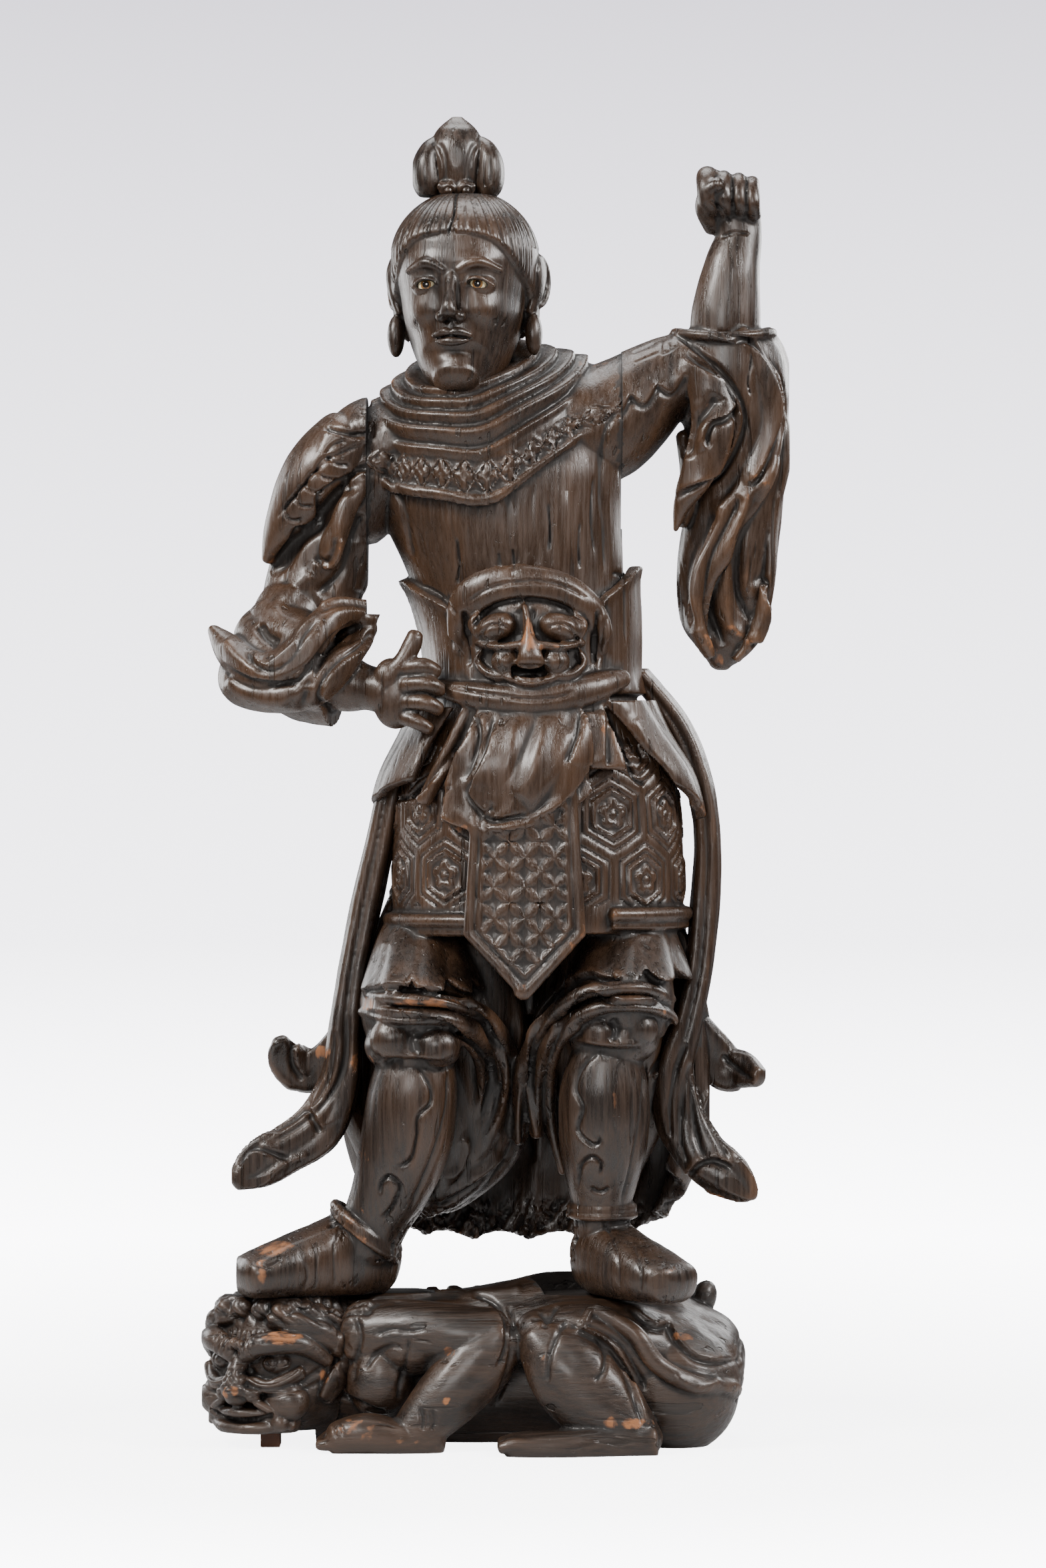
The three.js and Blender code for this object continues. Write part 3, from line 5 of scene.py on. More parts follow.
import bpy
import numpy as np
from mathutils import Euler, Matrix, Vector


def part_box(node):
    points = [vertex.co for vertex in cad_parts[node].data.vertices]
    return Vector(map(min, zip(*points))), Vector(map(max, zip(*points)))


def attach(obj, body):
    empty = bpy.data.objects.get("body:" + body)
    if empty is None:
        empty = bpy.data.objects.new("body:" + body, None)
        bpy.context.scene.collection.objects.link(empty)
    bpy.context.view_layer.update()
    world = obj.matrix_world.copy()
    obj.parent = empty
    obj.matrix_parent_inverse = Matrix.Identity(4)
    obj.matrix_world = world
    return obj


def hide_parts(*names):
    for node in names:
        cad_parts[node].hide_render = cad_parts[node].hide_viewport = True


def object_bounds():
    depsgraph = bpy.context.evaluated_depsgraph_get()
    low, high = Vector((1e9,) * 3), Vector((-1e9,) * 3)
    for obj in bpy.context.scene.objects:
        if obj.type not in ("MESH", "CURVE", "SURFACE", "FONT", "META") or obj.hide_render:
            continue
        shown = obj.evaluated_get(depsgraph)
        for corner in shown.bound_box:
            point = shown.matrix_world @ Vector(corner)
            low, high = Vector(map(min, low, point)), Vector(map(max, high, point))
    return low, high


bl_info = {
    "name": "Guardian Statue",
    "version": (1, 0, 0),
    "blender": (4, 5, 0),
    "location": "3D View > Sidebar > Statue",
    "description": "Carves and finishes a wooden guardian king standing on a demon",
    "category": "Object",
}

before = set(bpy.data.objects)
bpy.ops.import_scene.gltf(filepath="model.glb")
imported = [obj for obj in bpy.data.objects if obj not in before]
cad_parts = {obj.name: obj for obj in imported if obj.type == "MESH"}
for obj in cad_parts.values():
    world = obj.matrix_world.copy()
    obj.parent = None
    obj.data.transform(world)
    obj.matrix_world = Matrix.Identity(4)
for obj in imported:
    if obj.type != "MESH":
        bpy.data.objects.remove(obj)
CAD_LOW, CAD_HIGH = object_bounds()

# The carver's grid, as in the solid model: squares from the floor line to the topknot's tip
FLOOR_Z = 18
TIP_Z = 1703
SQUARE = (CAD_HIGH.z - CAD_LOW.z) / (TIP_Z - FLOOR_Z)
WEDGE_PLACE = (-292, -58)
WEDGE_LOW, WEDGE_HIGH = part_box("chin_wedge")
OFFSET = np.array(
    [
        (WEDGE_LOW.x + WEDGE_HIGH.x) / 2 / SQUARE - WEDGE_PLACE[0],
        (WEDGE_LOW.y + WEDGE_HIGH.y) / 2 / SQUARE - WEDGE_PLACE[1],
        -FLOOR_Z,
    ]
)
GAP = 0.0003 / SQUARE
SOLE_Z = 207
CROWN_Z = 1601
RAISED_SEAM_X = 152
LOWERED_SEAM_X = -171
HEAD_TURN = -10
HEAD_BASE = np.array([-47.0, -32.0, 1361.0])
EYE_PLACE = np.array([33.0, -79.0, 121.0])
EYE_RADIUS = 0.0095 / SQUARE
DEMON_HEAD_PLACE = np.array([-274.0, -8.0, 114.0])
DEMON_HEAD_TURN = -34
WEDGE_TOP = (WEDGE_HIGH.z - WEDGE_LOW.z) / SQUARE + FLOOR_Z
FAR = 2000
TURN = 2 * math.pi

# The photograph's framing
CAMERA_DISTANCE = 5.2
VIEW_CENTRE = (27, 855)
VIEW_HEIGHT = 2000
SENSOR = 36.0


# Shapes on the grid. Each is a closed shell: an array of points and an array of triangles.


def along(rows, t):
    """Points of a smooth curve through rows of numbers, t from 0 to 1."""
    rows = np.asarray(rows, float)
    last = len(rows) - 1
    s = np.clip(np.atleast_1d(t), 0, 1) * last
    i = np.minimum(s.astype(int), last - 1)
    f = (s - i)[:, None]
    a, b, c, d = (rows[np.clip(i + k, 0, last)] for k in (-1, 0, 1, 2))
    return 0.5 * (
        2 * b + (c - a) * f + (2 * a - 5 * b + 4 * c - d) * f**2 + (3 * b - a - 3 * c + d) * f**3
    )


def ridges(x):
    """Round ridges with sharp valleys between them, from -1 to 1."""
    return 2 * np.abs(np.sin(math.pi * x)) - 1


def mix(a, b, t):
    return a + (b - a) * t


def rise(low, high, x):
    """0 below low, 1 above high and smooth between them."""
    t = np.clip((x - low) / (high - low), 0, 1)
    return t * t * (3 - 2 * t)


def loft(rings):
    """A shell through rings of equal count, capped at both ends."""
    rings = np.asarray(rings, float)
    m, n = rings.shape[:2]
    i, j = np.meshgrid(np.arange(m - 1), np.arange(n), indexing="ij")
    a = (i * n + j).ravel()
    b = (i * n + (j + 1) % n).ravel()
    walls = np.concatenate([np.stack([a, b, b + n], 1), np.stack([a, b + n, a + n], 1)])
    j = np.arange(n)
    k = (j + 1) % n
    first = np.stack([k, j, np.full(n, m * n)], 1)
    final = np.stack([j, k, np.full(n, m * n + 1)], 1)
    final[:, :2] += (m - 1) * n
    points = np.concatenate([rings.reshape(-1, 3), [rings[0].mean(0), rings[-1].mean(0)]])
    return points, np.concatenate([walls, first, final])


def unit(v):
    return v / np.maximum(np.linalg.norm(v, axis=-1, keepdims=True), 1e-9)


CAP_ANGLES = np.radians([80, 62, 42, 20])
CAP_REACH = 0.6
LEAST_HALF = 1.5


def sweep(rows, towards=(0, 1, 0), sides=32, folds=(0, 0, 0), square=2, caps=(1, 1), grow=0, wave=None):
    """A limb, fold or roll along rows of x, y, z, half width, half depth (along `towards`)."""
    rows = np.asarray(rows, float)
    steps = max(12, len(rows) * 8)
    t = np.linspace(0, 1, steps + 1)
    push = np.zeros(steps + 1)
    share = np.ones(steps + 1)
    if caps[0]:
        t = np.concatenate([np.zeros(len(CAP_ANGLES)), t])
        push = np.concatenate([-CAP_REACH * caps[0] * np.sin(CAP_ANGLES), push])
        share = np.concatenate([np.cos(CAP_ANGLES), share])
    if caps[1]:
        t = np.concatenate([t, np.ones(len(CAP_ANGLES))])
        push = np.concatenate([push, CAP_REACH * caps[1] * np.sin(CAP_ANGLES[::-1])])
        share = np.concatenate([share, np.cos(CAP_ANGLES[::-1])])
    row = along(rows, t)
    tangent = unit(along(rows, np.minimum(t + 0.01, 1))[:, :3] - along(rows, np.maximum(t - 0.01, 0))[:, :3])
    reference = np.asarray(towards, float)
    depth = unit(reference - tangent * (tangent @ reference)[:, None])
    width = np.cross(depth, tangent)
    a = np.maximum(row[:, 3], LEAST_HALF)
    b = np.maximum(row[:, 4], LEAST_HALF)
    centre = row[:, :3] + tangent * (push * np.minimum(a, b))[:, None]
    u = np.arange(sides) / sides
    c, s = np.cos(u * TURN), np.sin(u * TURN)
    boxed = (np.abs(c) ** square + np.abs(s) ** square) ** (-1 / square)
    crease = 0
    if folds[0]:
        crease = folds[1] * ridges(folds[0] * u[None, :] + folds[2] * t[:, None])
    r = boxed[None, :] * share[:, None] * (1 + crease)
    if wave:
        r = r * (1 + wave(u[None, :], t[:, None]))
    rings = (
        centre[:, None, :]
        + width[:, None, :] * (c[None, :] * (a[:, None] * r + grow))[..., None]
        + depth[:, None, :] * (s[None, :] * (b[:, None] * r + grow))[..., None]
    )
    return loft(rings)


def hoop(loop, thick, count=96, sides=12):
    """A closed ring of round section along a loop."""
    t = np.arange(count) / count
    p = loop(t)
    tangent = unit(np.roll(p, -1, 0) - np.roll(p, 1, 0))
    out = p - p.mean(0)
    out = unit(out - tangent * (out * tangent).sum(1)[:, None])
    up = np.cross(tangent, out)
    angle = np.arange(sides) / sides * TURN
    points = (
        p[:, None, :]
        + thick * np.cos(angle)[None, :, None] * out[:, None, :]
        + thick * np.sin(angle)[None, :, None] * up[:, None, :]
    )
    i, j = np.meshgrid(np.arange(count), np.arange(sides), indexing="ij")
    a = (i * sides + j).ravel()
    b = (i * sides + (j + 1) % sides).ravel()
    c = (((i + 1) % count) * sides + j).ravel()
    d = (((i + 1) % count) * sides + (j + 1) % sides).ravel()
    return points.reshape(-1, 3), np.concatenate([np.stack([a, b, d], 1), np.stack([a, d, c], 1)])


def sheet(surface, nu, nv, thick):
    """Carved cloth or plate: surface(u, v) is its middle."""
    u, v = np.meshgrid(np.linspace(0, 1, nu + 1), np.linspace(0, 1, nv + 1), indexing="ij")
    e = 0.01
    at = lambda p, q: surface(np.clip(p, 0, 1), np.clip(q, 0, 1))
    normal = unit(np.cross(at(u + e, v) - at(u - e, v), at(u, v + e) - at(u, v - e)))
    middle = surface(u, v)
    points = np.concatenate(
        [(middle + normal * thick / 2).reshape(-1, 3), (middle - normal * thick / 2).reshape(-1, 3)]
    )
    other = (nu + 1) * (nv + 1)
    index = np.arange(other).reshape(nu + 1, nv + 1)
    a, b, c, d = index[:-1, :-1], index[1:, :-1], index[1:, 1:], index[:-1, 1:]
    a, b, c, d = (q.ravel() for q in (a, b, c, d))
    front = [np.stack([a, b, c], 1), np.stack([a, c, d], 1)]
    back = [np.stack([a, c, b], 1) + other, np.stack([a, d, c], 1) + other]
    rim = np.concatenate([index[:, 0], index[-1, 1:], index[-2::-1, -1], index[0, -2:0:-1]])
    ahead = np.roll(rim, -1)
    edge = [np.stack([rim, ahead + other, ahead], 1), np.stack([rim, rim + other, ahead + other], 1)]
    return points, np.concatenate(front + back + edge)


def turned(angles):
    return np.array(Euler([math.radians(a) for a in angles]).to_matrix())


def ball(centre, radii, turn=(0, 0, 0), grow=0):
    """An ellipsoid."""
    across = np.arange(36) / 36 * TURN
    down = np.linspace(0.02, math.pi - 0.02, 25)
    ring = np.stack(
        [
            np.sin(down)[:, None] * np.cos(across),
            np.sin(down)[:, None] * np.sin(across),
            np.cos(down)[:, None] * np.ones_like(across),
        ],
        -1,
    )
    points, faces = loft(ring)
    return (points * (np.asarray(radii) + grow)) @ turned(turn).T + np.asarray(centre), faces


def block(low, high):
    low, high = np.asarray(low, float), np.asarray(high, float)
    square = np.array([[0, 0], [1, 0], [1, 1], [0, 1]], float)
    ring = lambda z: np.concatenate([square, np.full((4, 1), float(z))], 1)
    points, faces = loft([ring(0), ring(1)])
    return low + points * (high - low), faces


def flat(shells):
    """A list of shells out of lists within lists."""
    if isinstance(shells, tuple):
        return [shells]
    return [shell for item in shells for shell in flat(item)]


def placed(shells, place, turn):
    matrix = turned(turn)
    return [(points @ matrix.T + np.asarray(place), faces) for points, faces in flat(shells)]


SEED_STEP = 17.31
CELL_STEPS = np.array([127.1, 311.7, 74.7])
CELL_SPREAD = 43758.5453


def noise(p, scale, seed):
    """Smooth value noise from -1 to 1."""
    q = np.asarray(p, float) / scale + seed * SEED_STEP
    i = np.floor(q)
    f = q - i
    f = f * f * (3 - 2 * f)
    total = 0
    for corner in np.ndindex(2, 2, 2):
        cell = i + corner
        value = np.modf(np.sin(cell @ CELL_STEPS) * CELL_SPREAD)[0]
        weight = np.prod(np.where(corner, f, 1 - f), axis=-1)
        total = total + value * weight
    return total


# Meshes


def add_mesh(name, shells):
    """An object of closed shells, from the grid to metres."""
    points, faces, count = [], [], 0
    for p, f in flat(shells):
        points.append((p + OFFSET) * SQUARE)
        faces.append(f + count)
        count += len(p)
    mesh = bpy.data.meshes.new(name)
    mesh.from_pydata(np.concatenate(points).tolist(), [], np.concatenate(faces).tolist())
    mesh.update()
    obj = bpy.data.objects.new(name, mesh)
    bpy.context.scene.collection.objects.link(obj)
    return obj


def pick(obj):
    bpy.ops.object.select_all(action="DESELECT")
    obj.select_set(True)
    bpy.context.view_layer.objects.active = obj


def apply_modifier(obj, kind, **values):
    pick(obj)
    modifier = obj.modifiers.new(kind.lower(), kind)
    for key, value in values.items():
        setattr(modifier, key, value)
    bpy.ops.object.modifier_apply(modifier=modifier.name)


def fix_normals(obj):
    pick(obj)
    bpy.ops.object.mode_set(mode="EDIT")
    bpy.ops.mesh.select_all(action="SELECT")
    bpy.ops.mesh.normals_make_consistent(inside=False)
    bpy.ops.object.mode_set(mode="OBJECT")


def use_up(obj, other, operation):
    apply_modifier(obj, "BOOLEAN", operation=operation, solver="MANIFOLD", object=other)
    bpy.data.objects.remove(other, do_unlink=True)


def cut_away(obj, shells):
    """Cuts closed shells out of an object, one by one."""
    for shell in flat(shells):
        tool = add_mesh("tool", [shell])
        fix_normals(tool)
        use_up(obj, tool, "DIFFERENCE")


def read(obj, what="vertices", key="co"):
    values = np.empty(len(getattr(obj.data, what)) * 3, np.float32)
    getattr(obj.data, what).foreach_get(key, values)
    return values.reshape(-1, 3).astype(float)


def write(obj, points):
    obj.data.vertices.foreach_set("co", points.astype(np.float32).ravel())
    obj.data.update()


def edges_of(obj):
    values = np.empty(len(obj.data.edges) * 2, np.int32)
    obj.data.edges.foreach_get("vertices", values)
    return values.reshape(-1, 2)


def average(values, edges):
    """Each point's mean over its neighbours."""
    count = len(values)
    a, b = edges[:, 0], edges[:, 1]
    degree = np.maximum(np.bincount(a, minlength=count) + np.bincount(b, minlength=count), 1)
    columns = values.reshape(count, -1)
    total = np.stack(
        [
            np.bincount(a, columns[b, k], count) + np.bincount(b, columns[a, k], count)
            for k in range(columns.shape[1])
        ],
        1,
    )
    return (total / degree[:, None]).reshape(values.shape)


def smooth(points, edges, times, share=0.6):
    for _ in range(times):
        points = mix(points, average(points, edges), share)
        points = mix(points, average(points, edges), -share * 0.92)
    return points


def carve(name, shells, voxel, soften=3, reliefs=()):
    """One closed skin over all the shells, softened and then cut with its fine relief."""
    obj = add_mesh(name, shells)
    apply_modifier(obj, "REMESH", mode="VOXEL", voxel_size=voxel, adaptivity=0, use_smooth_shade=True)
    edges = edges_of(obj)
    points = smooth(read(obj), edges, soften)
    write(obj, points)
    for relief in reliefs:
        grid = read(obj) / SQUARE - OFFSET
        normals = read(obj, "vertex_normals", "vector")
        depth = np.zeros(len(grid))
        relief(grid, normals, depth)
        write(obj, read(obj) + normals * (depth * SQUARE)[:, None])
    mark_wear_and_shade(obj, edges)
    return obj


# The edge and swell masks drive both the rubbed wear and the painted shade in the hollows
# Each mask's name, its rounds of averaging and the rise in metres that fills it
WEAR_AND_SHADE_MASKS = (("edge", 3, 0.0005), ("swell", 24, 0.003))


def mark_wear_and_shade(obj, edges):
    """Keeps how far each point stands out from what surrounds it, and how bare it is, from 0 to 1."""
    points = read(obj)
    normals = read(obj, "vertex_normals", "vector")
    for label, times, reach in WEAR_AND_SHADE_MASKS:
        around = points
        for _ in range(times):
            around = average(around, edges)
        out = ((points - around) * normals).sum(1)
        out = average(average(out, edges), edges)
        keep_values(obj, label, 0.5 + 0.5 * out / reach)
    grid = points / SQUARE - OFFSET
    x, z = seen(grid)
    bare = np.zeros(len(grid))
    for spot_x, spot_z, wide, tall, share in BARE_SPOTS:
        far = np.hypot((x - spot_x) / wide, (z - spot_z) / tall)
        bare = np.maximum(bare, share * rise(-1.7, -0.3, -far))
    broken = 0.62 + 0.5 * noise(grid * np.array([1, 1, 0.4]), 6, 11) + 0.3 * noise(grid, 2.6, 12)
    keep_values(obj, "bare", bare * broken * rise(-0.1, 0.3, -normals[:, 1]))


def keep_values(obj, label, values):
    layer = obj.data.attributes.new(label, "FLOAT", "POINT")
    layer.data.foreach_set("value", np.clip(values, 0, 1).astype(np.float32))


# Places where the lacquer is gone, as seen from the front: x, z, half width, half height, how bare
BARE_SPOTS = [
    (33, 1046, 10, 22, 0.9), (52, 1030, 26, 5, 0.7), (-92, 575, 44, 7, 0.8), (-172, 575, 12, 9, 0.9),
    (-292, 264, 30, 12, 0.75), (-307, 235, 8, 18, 0.8), (-229, 513, 9, 9, 1), (143, 452, 6, 26, 0.8),
    (-280, 149, 26, 10, 0.9), (-346, 79, 10, 8, 1), (-227, 98, 8, 10, 0.9), (-184, 33, 32, 18, 0.55),
    (156, 40, 38, 8, 0.8), (-67, 131, 8, 8, 1), (-72, 68, 7, 5, 1), (228, 150, 22, 6, 0.7),
    (-340, 470, 24, 8, 0.4), (116, 1392, 30, 6, 0.5), (-106, 1040, 8, 12, 0.4), (212, 236, 26, 6, 0.5),
    (-240, 360, 40, 8, 0.35), (280, 1018, 10, 12, 0.6), (-60, 798, 30, 6, 0.5), (30, 600, 6, 12, 0.5),
    (-106, 16, 70, 4, 0.5), (-294, 1142, 8, 8, 0.6), (262, 1330, 10, 24, 0.35), (-150, 1196, 8, 30, 0.3),
]


def thin(obj, most):
    triangles = sum(len(p.vertices) - 2 for p in obj.data.polygons)
    if triangles > most:
        apply_modifier(obj, "DECIMATE", ratio=most / triangles, use_collapse_triangulate=True)


def keep_inside(obj, *nodes):
    """Nothing of a piece reaches past the box of the solids that it stands for."""
    corners = [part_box(node) for node in nodes]
    low = np.min([c[0] for c in corners], axis=0)
    high = np.max([c[1] for c in corners], axis=0)
    write(obj, np.clip(read(obj), low, high))


def within(p, low, high):
    return np.flatnonzero(((p >= np.asarray(low)) & (p <= np.asarray(high))).all(1))


VIEW_REACH = CAMERA_DISTANCE / SQUARE


def seen(p):
    """Where points stand in the picture, on the grid's own scale."""
    reach = VIEW_REACH / (VIEW_REACH + p[:, 1] + OFFSET[1])
    return (
        (p[:, 0] - VIEW_CENTRE[0]) * reach + VIEW_CENTRE[0],
        (p[:, 2] - VIEW_CENTRE[1]) * reach + VIEW_CENTRE[1],
    )


def ridge(s, width):
    return np.exp(-((s / width) ** 2))


def groove(s, width):
    return -ridge(s, width)


def lap(s, width):
    """Cloth that lies over cloth: raised to the left of the line, with a shadow to its right."""
    over = rise(-1.6, 1.6, s) * np.exp(-np.maximum(s, 0) / width)
    return over - 0.75 * ridge(s + 4, 4)


def draw(p, n, depth, lines, profile, width, high):
    """Carves lines that are drawn as the camera sees them, from x, z points."""
    x, z = seen(p)
    facing = rise(0.02, 0.3, -n[:, 1])
    for line in lines:
        curve = along(line, np.linspace(0, 1, 6 * len(line)))
        reach = 3.2 * width
        low, top = curve.min(0) - reach, curve.max(0) + reach
        i = np.flatnonzero((x > low[0]) & (x < top[0]) & (z > low[1]) & (z < top[1]) & (facing > 0))
        if not len(i):
            continue
        a, b = curve[:-1], curve[1:]
        q = np.stack([x[i], z[i]], 1)[:, None] - a
        ab = b - a
        t = np.clip((q * ab).sum(-1) / np.maximum((ab * ab).sum(-1), 1e-9), 0, 1)
        off = q - t[..., None] * ab
        far = (off * off).sum(-1)
        k = far.argmin(1)
        rows = np.arange(len(i))
        turn = ab[k, 0] * q[rows, k, 1] - ab[k, 1] * q[rows, k, 0]
        s = np.sqrt(far[rows, k]) * np.where(turn > 0, 1, -1)
        share = (k + t[rows, k]) / len(a)
        fade = np.clip(np.minimum(share, 1 - share) * 8, 0, 1)
        near = rise(0, 0.4, 1 - np.abs(s) / reach)
        depth[i] += high * profile(s, width) * fade * near * facing[i]


def strokes(p, n, depth, *rows):
    """Carves sets of lines, each with its own profile, width and height."""
    for lines, profile, width, high in rows:
        draw(p, n, depth, lines, profile, width, high)


def local(p, place, turn):
    """Points in a part's own frame, for one turned about the vertical."""
    return (p - place) @ turned((0, 0, turn))


# The trunk, which the armour and cloth lie on: x, y, z, half width, half depth

TRUNK = [
    (46, 12, 668, 184, 132),
    (46, 11, 730, 187, 133),
    (46, 9, 800, 184, 128),
    (46, 6, 865, 174, 120),
    (43, 3, 925, 144, 106),
    (40, 0, 985, 124, 95),
    (36, 0, 1050, 125, 93),
    (24, 0, 1115, 133, 97),
    (11, 0, 1180, 146, 103),
    (0, 0, 1240, 164, 103),
    (-8, 0, 1292, 168, 92),
    (-22, 0, 1335, 128, 76),
    (-38, -4, 1372, 68, 58),
    (-42, -10, 1410, 50, 52),
]
TRUNK_LINE = along(TRUNK, np.linspace(0, 1, 600))


def trunk_at(z):
    return [np.interp(z, TRUNK_LINE[:, 2], TRUNK_LINE[:, k]) for k in (0, 1, 3, 4)]


def on_trunk(angle, z, lift=0):
    """A point on the trunk: degrees from the front, height and lift off it."""
    angle, z, lift = np.broadcast_arrays(np.radians(angle), np.asarray(z, float), lift)
    x, y, a, b = trunk_at(z)
    return np.stack([x + (a + lift) * np.sin(angle), y - (b + lift) * np.cos(angle), z], -1)


def off_trunk(p):
    """Angle, height and lift of points near the trunk."""
    x, y, a, b = trunk_at(p[:, 2])
    across, ahead = (p[:, 0] - x) / a, (y - p[:, 1]) / b
    return np.degrees(np.arctan2(across, ahead)), p[:, 2], (np.hypot(across, ahead) - 1) * (a + b) / 2


def laid(angle, height, lift, nu, nv, thick):
    return sheet(lambda u, v: on_trunk(angle(u, v), height(u, v), lift(u, v)), nu, nv, thick)


COLLAR_SCARF = 0.58
COLLAR_ROLLS = 4
COLLAR_DEPTH = 114


def collar_swell(v, turn=0):
    """How far the scarf rolls and the yoke's two rims stand out, from the neck out."""
    rolls = 6 * ridges(COLLAR_ROLLS * v / COLLAR_SCARF + 0.06 * np.sin(3 * turn)) + 6
    rims = 5.5 * (np.exp(-(((v - 0.64) / 0.02) ** 2) / 2) + np.exp(-(((v - 0.96) / 0.028) ** 2) / 2))
    return 22 * np.sin(math.pi * v) + np.where(v < COLLAR_SCARF, rolls, -3 + rims)


def collar_heights(turn):
    """Heights of the neck's edge and of the yoke's pointed edge."""
    s, c = np.sin(turn), np.cos(turn)
    tip = 22 * np.exp(-((turn - 0.02) ** 2) / 0.1)
    return 1392 - 32 * c + 14 * s, 1318 + 46 * s - 92 * np.maximum(c, 0) - tip


def collar():
    """Scarf rolls round the neck, then a yoke with a patterned band and a pointed front."""
    turn, v = np.meshgrid(np.arange(260) / 260 * TURN, np.linspace(1, 0, 90))
    s, c = np.sin(turn), np.cos(turn)
    high, low = collar_heights(np.arctan2(s, c))
    swell = collar_swell(v, turn)
    return loft(
        np.stack(
            [
                mix(-43 + 62 * s, -17 + 158 * s, v) + swell * s * 0.8,
                mix(-8 - 66 * c, -(COLLAR_DEPTH + 4 * np.maximum(c, 0)) * c, v) - swell * c * 0.9,
                mix(high, low, v) + swell * 0.55,
            ],
            -1,
        )
    )


def waist():
    """Flared side plates, an arched plate with a lion's mask and the roll below it."""

    def side_plate(start, end, top_start, top_end):
        return laid(
            lambda u, v: mix(start, end, u) * (1 - 0.04 * v),
            lambda u, v: mix(mix(top_start, top_end, u) - 10 * np.abs(2 * u - 1) ** 4, 968, v),
            lambda u, v: mix(9, 5, v) + 5 * np.exp(-((u * 12) ** 2)) + 5 * np.exp(-(((1 - u) * 12) ** 2))
            + 3 * np.exp(-((v * 16) ** 2)),
            50,
            40,
            14,
        )

    arch = lambda u: 1058 + 66 * np.sqrt(np.clip(1 - (2 * u - 1) ** 2, 0, 1))
    band = laid(
        lambda u, v: mix(-42, 41, u),
        lambda u, v: mix(arch(u), arch(u) - 40, v),
        lambda u, v: 13 + 9 * np.sin(math.pi * v) ** 0.6,
        90,
        20,
        16,
    )
    field = laid(
        lambda u, v: mix(-33, 33, u),
        lambda u, v: mix(arch(0.08 + u * 0.84) - 26, 958, v),
        lambda u, v: 6 + 9 * np.sin(math.pi * u) * (0.7 + 0.3 * np.sin(math.pi * v)),
        70,
        60,
        20,
    )
    lip_rows = [(-62, 978, 9), (-46, 972, 13), (-30, 966, 17), (-15, 962, 20), (0, 961, 22), (14, 965, 22),
                (28, 973, 20), (42, 982, 16), (54, 988, 11)]
    lip = sweep([(*on_trunk(a, z, 16), half, half * 0.7 + 6) for a, z, half in lip_rows], square=2.4)
    return [
        side_plate(-92, -34, 1126, 1072),
        side_plate(36, 92, 1084, 1142),
        band,
        field,
        lip,
        lion_mask(),
    ]


def lion_mask():
    """Leaf-shaped brows over sunk eyes, a broad snout and curled cheeks."""
    at = lambda angle, z, lift: tuple(on_trunk(angle - 1, z, lift))
    shells = []
    for side in (-1, 1):
        shells += [
            ball(at(15 * side, 1052, 27), (25, 17, 17), (0, 14 * side, 0)),
            sweep([(*at(23 * side, 1068, 26), 4, 6), (*at(27 * side, 1056, 30), 5, 8),
                   (*at(25 * side, 1040, 28), 4, 6)], sides=20),
            sweep([(*at(3 * side, 1030, 40), 5, 8), (*at(14 * side, 1027, 38), 5, 9),
                   (*at(27 * side, 1032, 24), 4, 6)], sides=20),
            ball(at(12 * side, 1009, 29), (18, 18, 16)),
            sweep([(*at(8 * side, 990, 32), 4, 7), (*at(19 * side, 992, 30), 6, 8),
                   (*at(27 * side, 1008, 24), 5, 7), (*at(25 * side, 1022, 24), 3, 5)], sides=20),
        ]
    shells += [
        sweep([(*at(0, 1090, 22), 3, 5), (*at(0, 1062, 32), 5, 9), (*at(0, 1036, 40), 9, 11),
               (*at(0, 1014, 46), 16, 12), (*at(0, 1006, 42), 18, 10)]),
        sweep([(*at(-11, 988, 32), 4, 7), (*at(0, 982, 38), 6, 9), (*at(11, 988, 32), 4, 7)], sides=20),
    ]
    return shells


def apron():
    """Cloth below the belt: the bunched apron, side leaves, pleats and the knot's end."""
    bunch = laid(
        lambda u, v: mix(mix(-26, -35, v), mix(23, 18, v), u),
        lambda u, v: mix(962, 790 + 20 * (1 - u) ** 4 + 78 * u**3.2, v),
        lambda u, v: 14 + 10 * v**3 + 19 * np.sin(math.pi * np.minimum(v * 1.04, 1)) ** 1.2
        * (0.55 + 0.45 * np.sin(math.pi * u)) + 3 * ridges(3.2 * u + 1.3 * v - 0.4 * v * u) * rise(0, 0.3, v),
        90,
        90,
        18,
    )
    under = laid(
        lambda u, v: mix(-37, 20, u),
        lambda u, v: mix(858, 806 - 8 * np.sin(math.pi * u) + 40 * u**5, v),
        lambda u, v: 8 + 6 * v + 2 * ridges(2.4 * u + 0.5 * v),
        60,
        30,
        16,
    )

    def leaf(inner, outer, top, tip, bend, rib):
        return laid(
            lambda u, v: mix(inner, outer, u) + bend * v * (1 - u) + rib * 3 * np.sin(math.pi * v),
            lambda u, v: mix(top, mix(tip, top - 60, (1 - u) * 0.55), v),
            lambda u, v: 14 + 9 * np.sin(math.pi * u) ** 0.7 - 3 * np.exp(-(((u - 0.5) * 12) ** 2))
            + 5 * v**3,
            60,
            60,
            13,
        )

    def pleat(angle, drift, top, bottom, wide):
        return sweep(
            [(*on_trunk(angle + drift * t, mix(top, bottom, t), 12), wide, 10) for t in (0, 0.5, 1)]
        )

    return [
        bunch,
        under,
        leaf(36, 92, 960, 798, 26, 1),
        leaf(-44, -100, 952, 822, -10, -1),
        pleat(-34, -14, 950, 835, 9),
        pleat(-28, -8, 952, 852, 7),
        pleat(-22, -3, 952, 870, 6),
        laid(lambda u, v: mix(21, 35, u), lambda u, v: mix(960, 874, v), lambda u, v: 12 + 4 * u, 20, 30, 14),
    ]


PANEL_MIDDLE, PANEL_TOP, PANEL_SHOULDER, PANEL_TIP = 29, 846, 666, 586


